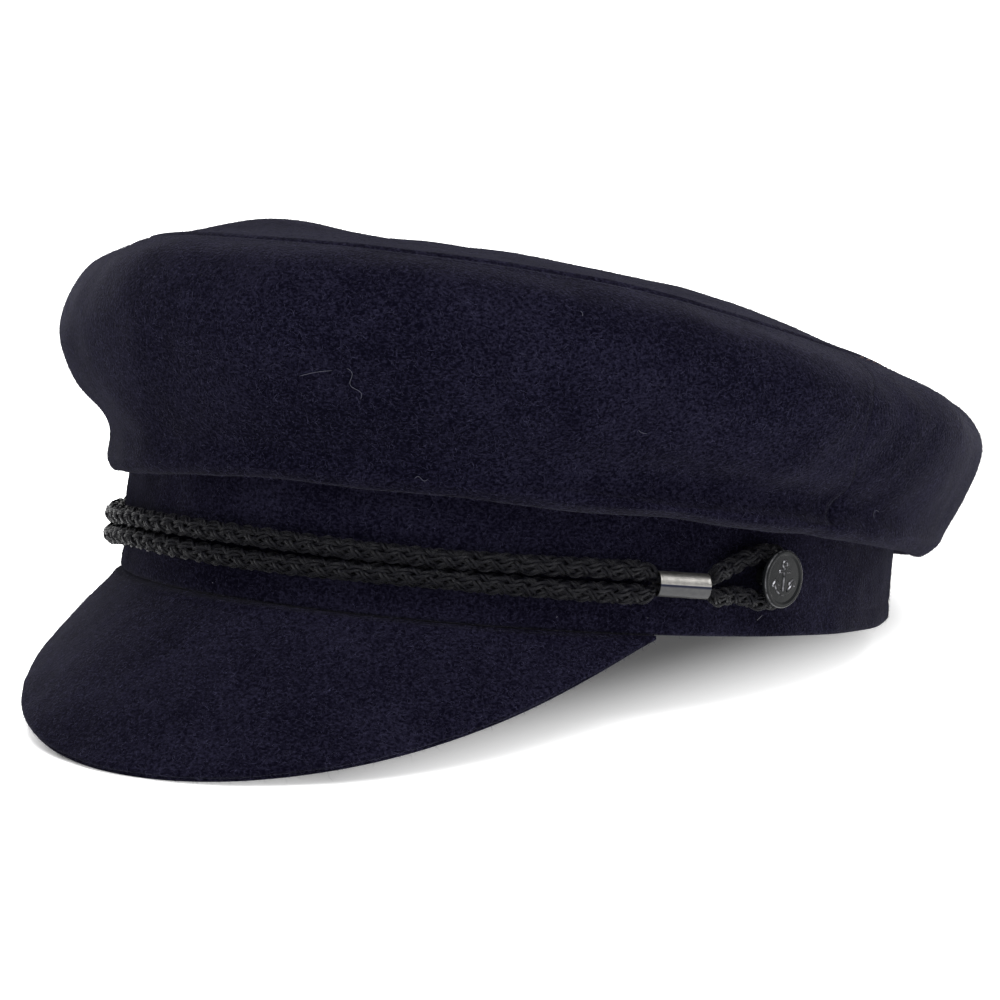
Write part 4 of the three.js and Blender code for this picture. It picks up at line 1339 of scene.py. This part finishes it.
class CAP_OT_buttons(bpy.types.Operator):
    """Strikes the two enamelled buttons with a rim and an anchor in relief"""

    bl_idname = "cap.buttons"
    bl_label = "Buttons"

    def execute(self, context):
        sizes, _, cord, metal = of_cap()
        enamel = material("enamel_disc", enamel_material)
        up = np.array([0.0, 0.0, 1.0])
        turned_back = 4.0
        points, faces, flow = self.shape(metal, cord.thickness + sizes.clearance)
        for name, side in (("button_left", 1), ("button_right", -1)):
            angle = side * math.degrees(metal.button_angle)
            normal = band_normal(sizes, np.array(angle + side * turned_back))
            height = metal.button_height - (cord.drop if side < 0 else 0)
            base = off_band(sizes, angle, sizes.clearance, height)
            placed = base + points @ np.stack([normal, np.cross(up, normal), up])
            piece = make_piece("enamel_" + name, placed, faces, (enamel,),
                               vectors=flow)
            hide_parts(name)
        return {"FINISHED"}

    def shape(self, metal, back):
        """A button on the first axis, with its back at a height: a dished face with the relief, a
        half-round rim and a shank, as rings closed by a fan at each pole. Returns its points, its
        faces, and how worn and glinting each point is, partly a painted highlight: 4 h (1 - h) on
        the relief's slopes, and a bell on the rim."""
        radius, thickness = metal.button_diameter / 2, metal.button_thickness
        face_share, rim_rows = 0.93, 11
        turns = np.linspace(0, TAU, 168, endpoint=False)
        shares = np.linspace(0, face_share, 76)[1:, None]
        relief = anchor_relief(shares * np.sin(turns), shares * np.cos(turns))
        relief = relief * relief * (3 - 2 * relief)
        dish = 0.35 * MM * np.clip((shares - 0.8) / 0.06, 0, 1)
        dish = dish + 0.25 * MM * (1 - shares ** 2)
        face = back + thickness - 0.55 * MM + dish + metal.relief * relief
        curve = np.radians(np.linspace(0, 180, rim_rows))[:, None]
        rim_out = radius * face_share + (radius * (1 - face_share)) * np.sin(curve)
        rim_up = back + thickness / 2 + (thickness / 2 - 0.1 * MM) * np.cos(curve)
        shank = metal.shank_diameter / 2
        under = np.array([[radius * 0.5, back], [shank * 1.3, back], [shank, back - 0.4 * MM],
                          [shank, 0.4 * MM], [shank * 1.3, 0.05 * MM], [shank * 0.4, 0.02 * MM]])
        level = 0 * turns
        radii = np.concatenate([shares * radius + level, rim_out + level, under[:, :1] + level])
        heights = np.concatenate([face, rim_up + level, under[:, 1:] + level])
        rings = np.stack([heights, radii * np.sin(turns), radii * np.cos(turns)], -1)
        pole, foot = [face[0].mean(), 0, 0], [0, 0, 0]
        points = np.concatenate([rings.reshape(-1, 3), [pole, foot]])
        flow = np.zeros((len(points), 3))
        # Painted glints as well as wear: the relief's slopes and a thin ring of the rim are marked
        # to be painted bright.
        flow[:relief.size, 0] = (4 * relief * (1 - relief)).ravel()
        rim = slice(relief.size, relief.size + rim_rows * len(turns))
        flow[rim, 0] = 0.7 * np.repeat(bell(curve, 0.9, 0.35), len(turns))
        faces = grid_faces(len(rings), len(turns), close_columns=True).tolist()
        here = np.arange(len(turns))
        after = np.roll(here, -1)
        last = (len(rings) - 1) * len(turns)
        at_pole, at_foot = len(points) - 2 + 0 * here, len(points) - 1 + 0 * here
        faces += np.stack([at_pole, after, here], -1).tolist()
        faces += np.stack([at_foot, last + here, last + after], -1).tolist()
        return points, faces, flow


# Stage


class CAP_OT_stage(bpy.types.Operator):
    """Lays a pale floor whose painted glow shapes the cap's soft shadow, and sets soft light and
    the camera
    """

    bl_idname = "cap.stage"
    bl_label = "Stage"

    def execute(self, context):
        stage = context.scene.cap_stage
        self.camera(stage)
        self.floor(stage)
        world = bpy.data.worlds.new("studio")
        world.use_nodes = True
        background = world.node_tree.nodes["Background"]
        background.inputs["Color"].default_value = (1, 1, 1, 1)
        background.inputs["Strength"].default_value = stage.daylight
        context.scene.world = world
        self.area("key", (0.6, -0.45, 1.45), (0, 0, 0.05), 1.2, stage.key_light)
        self.area("rear", (-0.9, 0.9, 0.9), (0, 0, 0.06), 0.9, stage.key_light * 0.25)
        context.scene.view_settings.view_transform = "Standard"
        return {"FINISHED"}

    def floor(self, stage):
        """A pale floor that glows, less under the cap, so that the glow paints the cap's soft
        shadow: smoothstep of the larger of the distances beside the cap and ahead of its peak, from
        near to far."""
        reach, near, far, peak_ahead = 12.0, 22 * MM, 82 * MM, 66 * MM
        n = Nodes("pale_floor")
        n.set(n.surface, "Base Color", tuple(stage.floor))
        n.set(n.surface, "Roughness", 0.85)
        n.set(n.surface, "Specular IOR Level", 0.1)
        n.set(n.surface, "Emission Color", tuple(stage.floor))
        x, y, _ = n.split(n.place())
        ahead = n.math("MULTIPLY_ADD", x, 0.578, n.math("MULTIPLY", y, -0.816))
        beside = n.math("MULTIPLY_ADD", y, -0.08, n.math("ABSOLUTE", x))
        away = n.math("MAXIMUM", beside, n.math("SUBTRACT", ahead, peak_ahead))
        # Painted light: the glow is low beside and behind the cap and full further off, which
        # paints its soft shadow.
        values = {"Value": away, "From Min": near, "From Max": far,
                  "To Min": 0.09 * stage.painted_glow, "To Max": stage.painted_glow}
        painted_glow_map = n.add("ShaderNodeMapRange", values, interpolation_type="SMOOTHSTEP")
        n.set(n.surface, "Emission Strength", painted_glow_map.outputs["Result"])
        mesh = bpy.data.meshes.new("floor")
        spots = [(-reach, -reach, 0), (reach, -reach, 0), (reach, reach, 0), (-reach, reach, 0)]
        mesh.from_pydata(spots, [], [(0, 1, 2, 3)])
        mesh.materials.append(n.material)
        floor = bpy.data.objects.new("floor", mesh)
        bpy.context.scene.collection.objects.link(floor)

    def area(self, name, place, target, size, power):
        """A square soft light that faces a point."""
        light = bpy.data.lights.new(name, "AREA")
        light.size, light.energy = size, power
        lamp = bpy.data.objects.new(name, light)
        lamp.location = place
        aim = np.array(target) - np.array(place)
        tilt = math.atan2(math.hypot(aim[0], aim[1]), -aim[2])
        lamp.rotation_euler = (tilt, 0, math.atan2(-aim[0], aim[1]))
        bpy.context.scene.collection.objects.link(lamp)

    def camera(self, stage):
        """The photograph's camera: a long lens aimed at the middle of the cap."""
        data = bpy.data.cameras.new("camera")
        data.sensor_width = 36
        data.lens = 36 * 4.1713
        data.shift_x, data.shift_y = -0.0088, -0.0083
        data.clip_start, data.clip_end = 0.05, 60
        data.dof.use_dof = False
        cam = bpy.data.objects.new("camera", data)
        target = np.array([-0.0002, 0.0092, 0.0399])
        level = math.cos(stage.elevation)
        back = np.array([math.sin(stage.azimuth) * level, -math.cos(stage.azimuth) * level,
                         math.sin(stage.elevation)])
        cam.location = target + stage.distance * back
        cam.rotation_euler = (math.pi / 2 - stage.elevation, 0, stage.azimuth)
        bpy.context.scene.collection.objects.link(cam)
        bpy.context.scene.camera = cam


class CAP_PT_panel(bpy.types.Panel):
    """Lists the cap's pieces and sizes."""

    bl_idname = "CAP_PT_panel"
    bl_label = "Fisherman cap"
    bl_space_type = "VIEW_3D"
    bl_region_type = "UI"
    bl_category = "Cap"

    def draw(self, context):
        for operator in OPERATORS:
            self.layout.operator(operator.bl_idname)
        for key in GROUPS:
            settings = getattr(context.scene, key)
            box = self.layout.box()
            for name in settings.__annotations__:
                box.prop(settings, name)


GROUPS = {
    "cap_sizes": CapSizes,
    "cap_wool": WoolLook,
    "cap_cord": CordLook,
    "cap_metal": MetalLook,
    "cap_stage": StageLook,
}
OPERATORS = (CAP_OT_stage, CAP_OT_crown, CAP_OT_band, CAP_OT_peak, CAP_OT_cord, CAP_OT_trim,
             CAP_OT_ferrules, CAP_OT_buttons)


def register():
    """Adds the classes and the scene's settings."""
    for group in (*GROUPS.values(), *OPERATORS, CAP_PT_panel):
        bpy.utils.register_class(group)
    for key, group in GROUPS.items():
        setattr(bpy.types.Scene, key, PointerProperty(type=group))


def unregister():
    """Takes them away again."""
    for key in GROUPS:
        delattr(bpy.types.Scene, key)
    for group in (CAP_PT_panel, *reversed(OPERATORS), *GROUPS.values()):
        bpy.utils.unregister_class(group)


def corners(box):
    """A box's two corners as plain lists."""
    return [list(map(float, corner)) for corner in box]


def main():
    """Builds every piece in order."""
    register()
    bpy.ops.cap.stage()
    bpy.ops.cap.crown()
    bpy.ops.cap.band()
    bpy.ops.cap.peak()
    bpy.ops.cap.cord()
    bpy.ops.cap.trim()
    bpy.ops.cap.ferrules()
    bpy.ops.cap.buttons()


if __name__ == "__main__":
    main()
